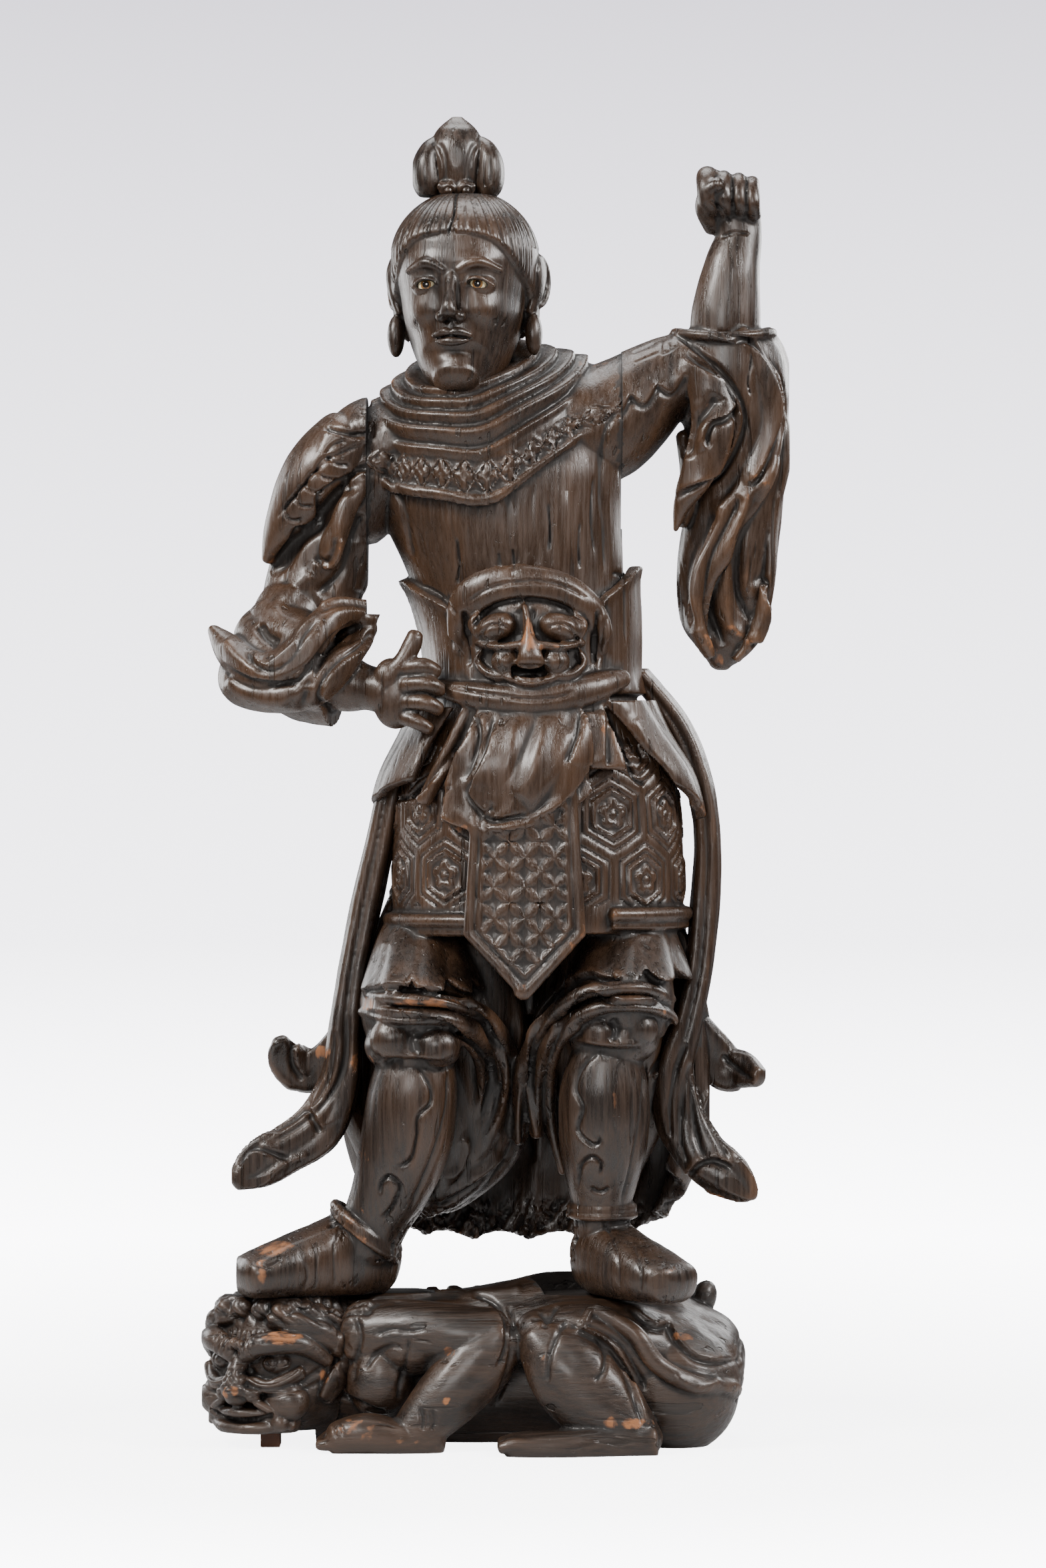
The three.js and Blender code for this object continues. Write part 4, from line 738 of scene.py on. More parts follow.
def panel_front(x, z, lift):
    return np.stack(
        np.broadcast_arrays(
            PANEL_MIDDLE + x,
            -139 - lift + 0.0016 * x * x + 0.00018 * (z - PANEL_SHOULDER) ** 2,
            z,
        ),
        -1,
    )


def panel():
    """The pointed panel that hangs in the middle, with a raised rim."""

    def half(z):
        side = mix(75, 64, (z - PANEL_SHOULDER) / (PANEL_TOP - PANEL_SHOULDER))
        return np.where(z > PANEL_SHOULDER, side, mix(3, 75, (z - PANEL_TIP) / (PANEL_SHOULDER - PANEL_TIP)))

    level = lambda v: mix(PANEL_TOP, PANEL_TIP, v)
    board = sheet(lambda u, v: panel_front((2 * u - 1) * half(level(v)), level(v), 0), 60, 110, 20)
    outline = [(-64, PANEL_TOP), (-75, PANEL_SHOULDER), (0, PANEL_TIP), (75, PANEL_SHOULDER), (64, PANEL_TOP)]
    rims = []
    for inset, wide in ((0.93, 5.5), (0.76, 2.6)):
        corners = [
            (x * inset, mix(PANEL_SHOULDER + 40, z, inset) if z < PANEL_TOP else z) for x, z in outline
        ]
        for (x0, z0), (x1, z1) in zip(corners, corners[1:]):
            rims.append(
                sweep(
                    [(*panel_front(mix(x0, x1, t), mix(z0, z1, t), 9), wide, 5) for t in (0, 0.5, 1)],
                    square=4,
                    sides=16,
                )
            )
    return [board, rims]


def skirt():
    def hem(start, end, z, wide):
        return sweep(
            [(*on_trunk(mix(start, end, i / 8), z, 5), wide, wide) for i in range(9)],
            towards=(0, 0, 1),
        )

    hems = [hem(-112, -20, 682, 9), hem(30, 112, 690, 9), hem(-110, -20, 668, 5), hem(30, 110, 676, 5)]
    return [hems, panel()]


def frill(x, z, deep, phase):
    """The scalloped flounce that comes out from under the skirt's hem."""
    down, t = np.meshgrid(np.linspace(0, 1, 34), np.arange(220) / 220, indexing="ij")
    wave = ridges(9 * t + phase)
    flare = 42 + 30 * down**0.6 + (2 + 7 * down**2) * wave
    return loft(
        np.stack(
            [
                x + flare * np.sin(t * TURN),
                mix(6, -22, down) - (flare + mix(10, 40, down**0.6)) * np.cos(t * TURN),
                z + deep * (1 - down) - 9 * wave * down**3,
            ],
            -1,
        )
    )


def ankle_roll(place, radii, turn, thick):
    loop = lambda t: np.stack([radii[0] * np.cos(t * TURN), radii[1] * np.sin(t * TURN), 0 * t], 1)
    return placed([hoop(loop, thick)], place, turn)


# Each leg: trouser, garter cloth, knee, greave, ankle roll and boot
RIGHT_LEG = {
    "frill": (-103, 603, 78, 0.2),
    "trouser": [(-104, -28, 652, 52, 58), (-105, -29, 626, 60, 70), (-107, -35, 582, 71, 86),
                (-106, -38, 548, 68, 82)],
    "garters": [
        [(-172, -50, 566, 8, 12), (-130, -124, 562, 9, 12), (-70, -118, 560, 10, 12),
         (-22, -66, 535, 11, 14), (0, -12, 480, 11, 16), (-8, 10, 420, 9, 14)],
        [(-168, -60, 590, 6, 9), (-128, -126, 586, 7, 10), (-66, -122, 582, 8, 11),
         (-12, -66, 556, 9, 13), (16, -6, 490, 10, 16), (14, 20, 410, 8, 14)],
        [(-60, -104, 536, 5, 8), (-36, -70, 520, 7, 10), (-24, -26, 480, 8, 12),
         (-30, 4, 420, 7, 12), (-48, 14, 370, 6, 10)],
    ],
    "knee": [((-112, -66, 524), (62, 54, 40)), ((-138, -99, 534), (28, 27, 28)),
             ((-82, -100, 525), (30, 28, 28))],
    "greave": [(-108, -52, 500, 50, 56), (-113, -50, 460, 57, 64), (-121, -44, 405, 58, 64),
               (-138, -36, 350, 51, 58), (-158, -26, 305, 43, 52), (-172, -18, 270, 40, 50)],
    "ankle": ((-174, -20, 290), (48, 56), (0, 38, 0)),
    "boot": [(-158, 4, 246, 44, 44), (-190, -14, 254, 50, 56), (-238, -38, 248, 47, 46),
             (-285, -60, 240, 47, 36), (-318, -74, 233, 44, 28)],
}
LEFT_LEG = {
    "frill": (164, 616, 74, 0.6),
    "trouser": [(158, -34, 662, 52, 58), (157, -36, 636, 58, 70), (151, -45, 588, 69, 86),
                (147, -50, 556, 64, 82)],
    "garters": [
        [(214, -60, 560, 8, 12), (180, -132, 578, 9, 12), (120, -136, 574, 10, 12),
         (72, -92, 540, 11, 14), (46, -34, 480, 11, 16), (44, -4, 410, 9, 14)],
        [(214, -64, 584, 6, 9), (176, -134, 600, 7, 10), (112, -138, 596, 8, 11),
         (58, -92, 560, 9, 13), (26, -30, 490, 10, 16), (22, 10, 400, 8, 14)],
        [(96, -120, 552, 5, 8), (72, -88, 526, 7, 10), (62, -40, 480, 8, 12),
         (64, -8, 420, 7, 12), (78, 2, 360, 6, 10)],
    ],
    "knee": [((142, -78, 536), (58, 50, 40)), ((126, -108, 543), (26, 24, 26)),
             ((172, -104, 547), (25, 23, 24))],
    "greave": [(132, -66, 510, 46, 54), (130, -64, 462, 57, 62), (129, -58, 405, 56, 62),
               (127, -48, 355, 46, 54), (127, -38, 315, 36, 46), (128, -34, 285, 36, 46)],
    "ankle": ((127, -38, 318), (38, 49), (0, 0, 0)),
    "boot": [(126, -10, 250, 40, 42), (134, -40, 254, 46, 48), (160, -84, 246, 46, 42),
             (192, -122, 238, 45, 34), (214, -146, 232, 40, 27)],
}


def leg(plan):
    place, radii, turn = plan["ankle"]
    return [
        frill(*plan["frill"]),
        sweep(plan["trouser"], sides=64, caps=(0, 1), folds=(7, 0.03, 0.7)),
        [sweep(rows, sides=24, square=1.8) for rows in plan["garters"]],
        [ball(*bulge) for bulge in plan["knee"]],
        sweep(plan["greave"], sides=64, square=2.2),
        ankle_roll(place, radii, turn, 7),
        ankle_roll(place + np.array([0, 0, -9]), np.array(radii) + 3, turn, 5),
        sweep(plan["boot"], sides=64, towards=(0, 0, 1), square=2.5, caps=(0.9, 1.1)),
    ]


def robe():
    """Cloth bags behind the greaves and the deep bell of the skirt behind both legs."""

    def bag(rows, phase):
        return sweep(rows, sides=110, wave=lambda u, t: 0.07 * ridges(7 * u + 1.4 * t + phase))

    def bell(u, v):
        turn = mix(-1.75, 1.75, u)
        wide = mix(168, 224, np.sin(np.minimum(v * 1.5, 1) * (math.pi / 2)))
        tuck = 1 - 0.9 * np.maximum(0, v - 0.8) ** 1.2
        fold = 8 * ridges(9 * u + 0.4 * v) * np.minimum(1, 2 * v)
        hem = 266 + 130 * np.abs(2 * u - 1) ** 3.2 + 5 * ridges(9 * u + 0.4 * v)
        return np.stack(
            [
                mix(38, 28, v) + (wide * tuck + fold) * np.sin(turn),
                34 + (mix(84, 128, v) * tuck + fold) * np.cos(turn),
                mix(720, hem, v),
            ],
            -1,
        )

    return [
        bag([(-66, 30, 640, 74, 62), (-52, 40, 560, 82, 66), (-46, 46, 480, 88, 66),
             (-52, 48, 410, 78, 60), (-80, 42, 350, 52, 46), (-104, 32, 318, 26, 26)], 0.1),
        bag([(134, 26, 640, 78, 62), (134, 30, 560, 88, 66), (134, 36, 480, 90, 66),
             (130, 40, 415, 74, 56), (128, 36, 360, 48, 40)], 0.5),
        sheet(bell, 200, 110, 20),
        block((-40, 20, 560), (130, 118, 700)),
    ]


# The head from the chin up, face towards -Y. The face is a plain ideal one.


def head_section(z):
    t = np.clip(z / 243, 0, 1)
    dome = np.sqrt(np.maximum(0.02, 1 - np.maximum(0, (t - 0.66) / 0.36) ** 2))
    return mix(-6, 6, t), 84 * dome, 97 * dome


def hairline(turn):
    across, ahead = np.sin(turn), np.cos(turn)
    temples = np.where(ahead > -0.4, 18 * np.exp(-((np.abs(across) - 0.9) ** 2) / 0.05), 0)
    return mix(104, 184, np.maximum(0, ahead) ** 0.55) - 50 * np.maximum(0, -ahead) ** 0.6 - temples


def hair():
    turn = np.arange(300) / 300 * TURN
    rings = []
    for v in np.linspace(0, 1, 48):
        z = mix(243, hairline(turn), v)
        y, a, b = head_section(z)
        puff = 6 * np.abs(np.sin(2.6 * np.where(turn > math.pi, turn - TURN, turn))) * v**2
        roll = math.sqrt(max(0, 1 - ((v - 0.86) / 0.14) ** 2)) if v > 0.86 else 1
        lift = (5 + 4 * math.sin(math.pi * v) + puff) * (0.25 + 0.75 * roll)
        rings.append(np.stack([(a + lift) * np.sin(turn), y - (b + lift) * np.cos(turn), z], 1))
    return loft(rings)


def head():
    skull = sweep(
        [(0, -55, 4, 31, 27), (0, -38, 22, 50, 56), (0, -18, 56, 68, 76), (0, -6, 100, 78, 90),
         (0, 0, 140, 84, 97), (0, 4, 180, 87, 97), (0, 6, 215, 72, 80), (0, 6, 240, 40, 46)],
        sides=96, square=2.15,
    )
    shells = [skull, hair()]
    for side in (-1, 1):
        shells += [
            sweep([(84 * side, 4, 92, 6, 12), (92 * side, 8, 118, 8, 17), (95 * side, 10, 144, 8, 21),
                   (92 * side, 8, 162, 6, 14)]),
            ball((89 * side, 0, 64), (11, 14, 27)),
            hoop(lambda t: np.stack([(93 - 9 * np.cos(t * TURN)) * side, 10 - 19 * np.cos(t * TURN),
                                     132 + 30 * np.sin(t * TURN)], 1), 4.5),
            sweep([(9 * side, -92, 138, 6, 6), (32 * side, -90, 147, 6, 6), (60 * side, -71, 139, 3, 4)]),
            ball((EYE_PLACE[0] * side, EYE_PLACE[1] + 3, EYE_PLACE[2]), (20, 15, 14)),
            sweep([(17 * side, -89, 117, 2.4, 3), (26 * side, -95, 126, 3, 3.6),
                   (38 * side, -93, 127, 3, 3.6), (52 * side, -80, 119, 2.2, 3)], sides=16),
            ball((10 * side, -97, 80), (8, 9, 7)),
        ]
    shells += [
        sweep([(0, -90, 134, 8, 7), (0, -99, 112, 7, 9), (0, -108, 92, 9, 12), (0, -109, 84, 11, 10)]),
        sweep([(-23, -85, 57, 3, 4), (-9, -94, 61, 4, 5), (0, -94, 59, 4, 5), (9, -94, 61, 4, 5),
               (23, -85, 57, 3, 4)], sides=20),
        sweep([(-19, -85, 51, 3, 4), (0, -93, 48, 6, 6), (19, -85, 51, 3, 4)], sides=20),
    ]
    return placed(shells, HEAD_BASE, (0, 0, HEAD_TURN))


def eye_place(side):
    return HEAD_BASE + turned((0, 0, HEAD_TURN)) @ (EYE_PLACE * np.array([side, 1, 1]))


def eye_opening(side):
    opening = ball((34 * side, -100, 120.5), (14.5, 20, 5.6), (0, 8 * side, 0))
    return placed([opening], HEAD_BASE, (0, 0, HEAD_TURN))


def topknot():
    """An egg-shaped bud hugged by two leaf-like side loops, on the flat crown."""
    x, y = -57, -24
    shells = [
        sweep([(x, y, 1600, 26, 26), (x, y - 1, 1620, 32, 32), (x, y - 2, 1644, 35, 35),
               (x, y - 2, 1662, 35, 34), (x, y - 1, 1676, 31, 30), (x, y, 1687, 25, 24), (x, y, 1695, 17, 17),
               (x, y, 1701, 9, 9)], sides=64, caps=(0, 0.6))
    ]
    for side, out in ((-1, 38), (1, 41)):
        middle = x + out * side
        shells += [
            sweep([(middle - 10 * side, y - 8, 1600, 9, 15), (middle - side, y - 8, 1615, 18, 26),
                   (middle + side, y - 6, 1640, 18, 29), (middle - 3 * side, y - 3, 1660, 13, 24),
                   (middle - 10 * side, y, 1672, 7, 15)], sides=48, caps=(0, 1)),
            ball((x + 12 * side, y - 29, 1610), (12, 8, 10)),
        ]
    return shells


# Arms


def finger(rows):
    return sweep(rows, sides=20)


def lowered_arm():
    """Shoulder guard, sleeve, wide cuff, forearm and the open hand at the hip."""
    guard = [
        ball((-172, -8, 1306), (58, 76, 40), (0, -26, 0)),
        sweep([(-196, -26, 1292, 42, 56), (-228, -34, 1258, 44, 54), (-256, -34, 1216, 38, 44),
               (-282, -30, 1174, 22, 28), (-298, -26, 1140, 8, 10)], sides=72),
    ]
    upper = [
        sweep([(-150, 2, 1276, 60, 74), (-186, 4, 1226, 62, 68), (-220, 6, 1160, 64, 62),
               (-245, 4, 1098, 60, 58), (-268, -6, 1048, 50, 52)], sides=96, folds=(6, 0.03, 1.2)),
        ball((-268, -18, 1066), (50, 50, 52), (0, 20, 0)),
        sweep([(-176, -66, 1244, 15, 12), (-196, -72, 1200, 13, 12), (-214, -66, 1158, 16, 14),
               (-220, -60, 1134, 9, 8)], sides=24),
    ]
    shell = sweep([(-290, -8, 1052, 52, 58), (-272, -26, 1024, 64, 72), (-244, -42, 1006, 68, 78),
                   (-212, -52, 1004, 72, 74)], sides=110, folds=(5, 0.07, 0.5), caps=(1, 0))
    rolls = [
        sweep([(-166, -38, 1072, 14, 16), (-214, -84, 1066, 20, 22), (-252, -106, 1020, 22, 24),
               (-296, -96, 996, 24, 24), (-336, -62, 1018, 24, 26), (-366, -36, 1050, 8, 12)],
              sides=48, square=1.7),
        ball((-177, -46, 1064), (20, 26, 16)),
        ball((-192, -34, 1046), (22, 30, 18)),
        sweep([(-168, -46, 1052, 11, 16), (-200, -92, 1010, 20, 20), (-236, -104, 974, 22, 22),
               (-288, -82, 970, 26, 28), (-334, -50, 982, 24, 28), (-342, -20, 1014, 14, 20)],
              sides=48, square=1.7),
    ]
    forearm = sweep([(-286, -20, 1020, 42, 42), (-232, -46, 996, 42, 40), (-196, -56, 982, 36, 33),
                     (-166, -70, 976, 28, 25), (-146, -80, 972, 30, 24)], sides=64)
    hand = [
        ball((-130, -84, 966), (32, 20, 42), (0, 10, 0)),
        ball((-142, -86, 990), (20, 18, 24), (0, 20, 0)),
        finger([(-140, -88, 992, 14, 15), (-124, -92, 1010, 12, 12), (-113, -92, 1030, 12, 11),
                (-109, -90, 1043, 10, 10)]),
        finger([(-122, -92, 1000, 12, 12), (-98, -101, 1003, 11, 11), (-82, -95, 996, 9, 10)]),
        finger([(-120, -96, 980, 12, 12), (-94, -107, 981, 11, 11), (-76, -99, 973, 9, 10)]),
        finger([(-120, -94, 958, 12, 12), (-96, -107, 957, 11, 11), (-79, -101, 949, 9, 10)]),
        finger([(-124, -90, 940, 11, 11), (-106, -101, 933, 10, 10), (-91, -99, 924, 8, 9)]),
    ]
    return [guard, upper, shell, rolls, forearm, hand, lowered_shoulder()]


def lowered_shoulder():
    return sweep([(-100, 0, 1290, 60, 80), (-150, 2, 1276, 62, 76), (-200, 4, 1206, 62, 66)], sides=72)


def raised_shoulder():
    return sweep([(70, 2, 1304, 84, 84), (130, 4, 1318, 76, 80), (190, 4, 1360, 58, 68)], sides=72)


def raised_arm():
    """Shoulder sleeve, the long hanging sleeve and the bare forearm with its fist."""
    upper = sweep([(130, 4, 1318, 74, 78), (168, 4, 1346, 62, 72), (206, 4, 1370, 54, 64),
                   (246, 2, 1388, 48, 58), (280, 0, 1400, 46, 52)], sides=96, folds=(6, 0.02, 1))

    def back_folds(u, t):
        return 0.12 * ridges(7 * u + 1.6 * t) * rise(-0.2, 0.4, np.sin(TURN * u))

    sleeve = sweep([(280, 0, 1424, 62, 54), (290, 6, 1380, 74, 62), (302, 12, 1310, 64, 58),
                    (302, 18, 1240, 60, 50), (290, 22, 1160, 62, 44), (284, 24, 1090, 56, 36),
                    (284, 24, 1040, 42, 26), (279, 22, 1008, 14, 12)],
                   sides=150, caps=(0, 1), wave=back_folds)
    rim = hoop(lambda t: np.stack([283 + 62 * np.cos(t * TURN), -2 + 55 * np.sin(t * TURN),
                                   1426 + 4 * np.cos(2 * t * TURN)], 1), 6.5, 140)
    folds = [
        sweep([(226, -20, 1424, 9, 14), (252, -44, 1372, 20, 16), (266, -50, 1312, 26, 16),
               (250, -42, 1252, 22, 14), (230, -30, 1210, 12, 12), (221, -22, 1178, 3, 6)], sides=40),
        sweep([(300, -40, 1424, 16, 12), (330, -34, 1372, 22, 16), (338, -24, 1310, 22, 18),
               (320, -26, 1240, 22, 16), (284, -26, 1176, 19, 14), (256, -20, 1110, 15, 11),
               (250, -12, 1056, 12, 9), (264, -2, 1020, 6, 6)], sides=40),
        sweep([(352, 4, 1352, 8, 16), (362, 8, 1280, 9, 18), (344, 8, 1200, 11, 18),
               (342, 4, 1120, 8, 16), (326, 4, 1050, 9, 14), (300, 6, 1014, 5, 8)], sides=28),
        sweep([(236, 4, 1300, 14, 22), (244, 8, 1240, 16, 22), (230, -8, 1188, 8, 12)], sides=28),
    ]
    forearm = sweep([(284, 0, 1398, 44, 38), (286, -4, 1455, 44, 38), (294, -6, 1515, 36, 32),
                     (302, -6, 1552, 30, 25), (298, -6, 1582, 32, 24)], sides=64)

    def knuckle(x, z, thick):
        return finger([(x, 12, z - 14, thick, thick), (x - 2, -8, z + 2, thick, thick),
                       (x - 3, -34, z - 4, thick, thick), (x - 2, -42, z - 26, thick, thick),
                       (x, -26, z - 40, thick, thick)])

    fist = [
        ball((292, -4, 1592), (38, 28, 38)),
        knuckle(264, 1626, 14),
        ball((268, -26, 1622), (17, 15, 15)),
        knuckle(285, 1624, 10.5),
        knuckle(304, 1622, 9.5),
        knuckle(321, 1618, 9.5),
        finger([(270, -6, 1566, 13, 13), (258, -28, 1586, 12, 12), (262, -46, 1606, 11, 11),
                (276, -54, 1616, 9, 9)]),
    ]
    return [upper, sleeve, rim, folds, forearm, fist, raised_shoulder()]


SCARF_RIGHT = [
    ([(-112, 18, 930, 14, 24), (-138, 20, 860, 17, 27), (-156, 20, 780, 18, 28), (-174, 18, 700, 19, 28),
      (-190, 12, 620, 18, 28), (-200, 2, 545, 20, 25), (-206, -8, 480, 24, 19), (-232, -16, 420, 31, 12),
      (-276, -24, 388, 29, 11), (-312, -34, 366, 26, 14), (-336, -40, 348, 10, 9)], 0.1),
    ([(-206, 30, 540, 12, 14), (-226, 38, 500, 24, 11), (-250, 44, 486, 28, 11), (-274, 38, 502, 24, 11),
      (-284, 24, 526, 10, 9)], 0.05),
]
SCARF_LEFT = [
    ([(176, 20, 994, 13, 24), (226, 22, 930, 15, 27), (254, 22, 855, 16, 28), (263, 22, 780, 16, 28),
      (260, 20, 700, 18, 28), (252, 14, 620, 17, 28), (236, 4, 550, 19, 26), (220, -6, 490, 24, 20),
      (228, -14, 430, 31, 12), (256, -22, 384, 30, 12), (290, -30, 356, 28, 14),
      (316, -36, 334, 12, 9)], 0.1),
    ([(246, 34, 560, 12, 14), (264, 40, 520, 26, 11), (286, 44, 490, 28, 11), (308, 36, 488, 24, 12),
      (328, 22, 480, 14, 14)], 0.05),
]


def scarf(tails, grow=0):
    return [
        sweep(rows, sides=90, square=2.6, folds=(5, depth, 0.5), grow=grow) for rows, depth in tails
    ]


def cut_scarf(p, n, depth):
    strokes(
        p, n, depth,
        (SCARF_LAPS, lap, 12, 5),
        (SCARF_PLEATS, groove, 4, 4),
        (SCARF_LIPS, ridge, 5, 4),
    )


SCARF_LAPS = [
    [(-246, 444), (-238, 430), (-228, 413)],
    [(-272, 372), (-281, 375), (-307, 386), (-320, 384), (-332, 366)],
    [(-256, 536), (-264, 516), (-262, 496), (-250, 480)],
    [(234, 354), (250, 372), (272, 378), (296, 368)],
]
SCARF_PLEATS = [
    [(-196, 560), (-200, 500), (-220, 456), (-254, 422), (-300, 396)],
    [(-212, 540), (-222, 478), (-252, 438), (-300, 408)],
    [(236, 524), (222, 490), (214, 440), (216, 400)],
    [(240, 500), (230, 450), (228, 400), (240, 366)],
    [(244, 500), (242, 450), (250, 400), (262, 372)],
    [(250, 496), (256, 450), (272, 410), (290, 372)],
    [(280, 510), (300, 492), (322, 476)],
]
SCARF_LIPS = [
    [(-346, 350), (-338, 378), (-320, 396), (-286, 412)],
    [(-336, 344), (-306, 348), (-284, 366), (-246, 384)],
    [(300, 378), (318, 350), (322, 322)],
    [(256, 336), (276, 322), (312, 318)],
    [(-282, 532), (-294, 510), (-288, 486), (-262, 462)],
]


# The demon: crouched along X, head towards -X, near arm and leg in front


def demon_body():
    trunk = sweep(
        [(-212, 22, 112, 92, 84), (-140, 26, 112, 98, 98), (-60, 30, 104, 104, 100), (20, 30, 110, 110, 102),
         (90, 24, 116, 116, 110), (160, 12, 110, 106, 118), (225, 4, 102, 100, 120), (264, 2, 100, 82, 98),
         (286, 2, 94, 56, 66)],
        sides=110, folds=(8, 0.02, 0.4), caps=(1, 0.6))
    rump = [
        ball((220, -52, 92), (82, 72, 86)),
        ball((216, 66, 92), (80, 68, 84)),
        sweep([(118, -112, 196, 8, 8), (166, -126, 168, 11, 10), (196, -128, 128, 12, 10),
               (240, -122, 104, 12, 10), (284, -90, 96, 10, 9), (296, -50, 88, 8, 8)], sides=24),
        ball((258, 26, 196), (17, 19, 24), (0, 20, 0)),
    ]
    near_arm = [
        ball((-152, -62, 104), (44, 46, 54)),
        ball((-110, -76, 150), (52, 40, 40)),
        sweep([(-176, -50, 156, 44, 44), (-120, -70, 162, 42, 44), (-60, -86, 160, 40, 42),
               (-10, -92, 156, 38, 38)], sides=48),
        sweep([(-4, -94, 158, 36, 36), (-28, -104, 128, 44, 36), (-66, -112, 88, 41, 34),
               (-98, -116, 54, 34, 30), (-112, -118, 36, 30, 28)], sides=48),
        sweep([(-84, -116, 30, 24, 24), (-128, -120, 34, 28, 24), (-170, -122, 40, 32, 26),
               (-206, -118, 34, 32, 22)], towards=(0, 0, 1), square=2.6, sides=48),
    ]
    fingers = [
        sweep([(-176, -104 - 12 * k, 48 - 3 * k, 8, 9), (-206, -102 - 13 * k, 42 - 4 * k, 8, 9),
               (-228, -98 - 12 * k, 28, 7, 9)], sides=20)
        for k in range(4)
    ]
    near_leg = [
        sweep([(40, -84, 150, 40, 44), (96, -82, 156, 50, 52), (160, -64, 140, 60, 60),
               (220, -40, 110, 64, 60)], sides=56),
        ball((46, -96, 160), (32, 36, 34)),
        sweep([(48, -104, 158, 32, 34), (80, -122, 122, 52, 38), (118, -130, 82, 52, 36),
               (156, -132, 46, 40, 32), (176, -132, 24, 32, 30)], sides=64, folds=(7, 0.02, 0.3)),
        sweep([(188, -132, 30, 30, 26), (130, -140, 30, 32, 25), (76, -146, 28, 36, 20),
               (30, -148, 28, 34, 18), (10, -146, 28, 30, 15)], towards=(0, 0, 1), square=2.8,
              caps=(0.5, 0.5), sides=48),
        sweep([(28, -104, 176, 6, 8), (66, -122, 160, 8, 10), (96, -124, 172, 7, 10),
               (112, -112, 196, 5, 8)], sides=18),
    ]
    toes = [
        sweep([(44, -122 - 13 * k, 32, 8, 9), (18, -122 - 13 * k, 34, 8, 10),
               (0, -121 - 12.5 * k, 29, 8, 11)], sides=20)
        for k in range(5)
    ]
    far_side = [
        sweep([(-150, 90, 120, 46, 44), (-70, 132, 110, 42, 40), (-60, 142, 66, 36, 34),
               (-100, 140, 34, 32, 26), (-150, 132, 30, 32, 18)], sides=48),
        sweep([(200, 84, 110, 60, 56), (110, 122, 130, 52, 46), (70, 138, 100, 42, 40),
               (120, 140, 44, 36, 32), (60, 144, 28, 32, 16)], sides=48),
    ]
    spine = [
        ball((x, 34 + 3 * math.sin(x), 200 - 0.00032 * (x + 10) ** 2), (15, 13, 12))
        for x in range(-120, 100, 30)
    ]
    return [trunk, rump, near_arm, fingers, near_leg, toes, far_side, spine]


def demon_head():
    shells = [
        sweep([(0, -20, -88, 46, 52), (0, -10, -58, 78, 82), (0, 0, -12, 88, 92), (0, 6, 34, 88, 90),
               (0, 14, 74, 76, 78), (0, 18, 96, 66, 66)], sides=80, square=2.3, caps=(0.4, 0)),
        ball((0, -58, -64), (60, 40, 28)),
        sweep([(0, -92, 32, 10, 9), (0, -104, 6, 13, 12), (0, -114, -20, 18, 15), (0, -104, -34, 15, 10)]),
        sweep([(-52, -78, -66, 6, 8), (-20, -98, -70, 9, 11), (20, -98, -70, 9, 11), (52, -78, -66, 6, 8)]),
        sweep([(-40, -86, -52, 5, 7), (0, -104, -50, 7, 9), (40, -86, -52, 5, 7)]),
        ball((0, -78, -84), (34, 24, 12)),
        ball((52, -84, -62), (12, 12, 11)),
        sweep([(-14, -104, 30, 5, 7), (0, -110, 38, 6, 8), (14, -104, 30, 5, 7)], sides=18),
    ]
    for side in (-1, 1):
        shells += [
            ball((38 * side, -76, 12), (22, 16, 15)),
            ball((38 * side, -82, 12), (13, 12, 10)),
            sweep([(10 * side, -100, 22, 11, 13), (38 * side, -98, 38, 15, 15), (72 * side, -66, 36, 13, 14),
                   (90 * side, -34, 14, 7, 9)]),
            sweep([(14 * side, -96, -8, 7, 8), (42 * side, -92, -16, 9, 10), (72 * side, -66, 0, 9, 10)]),
            ball((50 * side, -70, -36), (32, 26, 26)),
            ball((20 * side, -102, -26), (13, 13, 11)),
            sweep([(26 * side, -100, -36, 5, 7), (46 * side, -90, -48, 6, 8), (62 * side, -72, -66, 6, 8)]),
            sweep([(84 * side, -30, -34, 7, 16), (94 * side, -18, -8, 8, 20), (100 * side, 0, 18, 4, 8)]),
            sweep([(30 * side, -70, 66, 12, 14), (64 * side, -56, 60, 15, 17), (88 * side, -20, 40, 15, 18),
                   (94 * side, 20, 10, 13, 18), (84 * side, 50, -20, 10, 14)],
                  sides=60, folds=(5, 0.08, 1.5)),
            sweep([(20 * side, -66, 84, 8, 10), (52 * side, -56, 82, 10, 12), (80 * side, -20, 66, 11, 14),
                   (90 * side, 24, 40, 10, 14), (80 * side, 60, 4, 8, 12)],
                  sides=60, folds=(5, 0.08, 1.2)),
            ball((16 * side, -74, 78), (14, 12, 13)),
            ball((44 * side, -72, 76), (14, 12, 12)),
            sweep([(22 * side, -88, -56, 5, 8), (50 * side, -80, -56, 8, 10), (70 * side, -58, -44, 5, 7)]),
        ]
    return placed(shells, DEMON_HEAD_PLACE, (0, 0, DEMON_HEAD_TURN))


def boot_seats():
    seats = []
    for heel, toe, half in (((-100, 26), (-380, -106), 76), ((100, 36), (236, -240), 72)):
        run, back = toe[0] - heel[0], toe[1] - heel[1]
        box = block((0, -half, 0), (math.hypot(run, back), half, 400))
        seats += placed([box], (*heel, SOLE_Z - GAP), (0, 0, math.degrees(math.atan2(back, run))))
    return seats


# Fine relief, cut along the surface


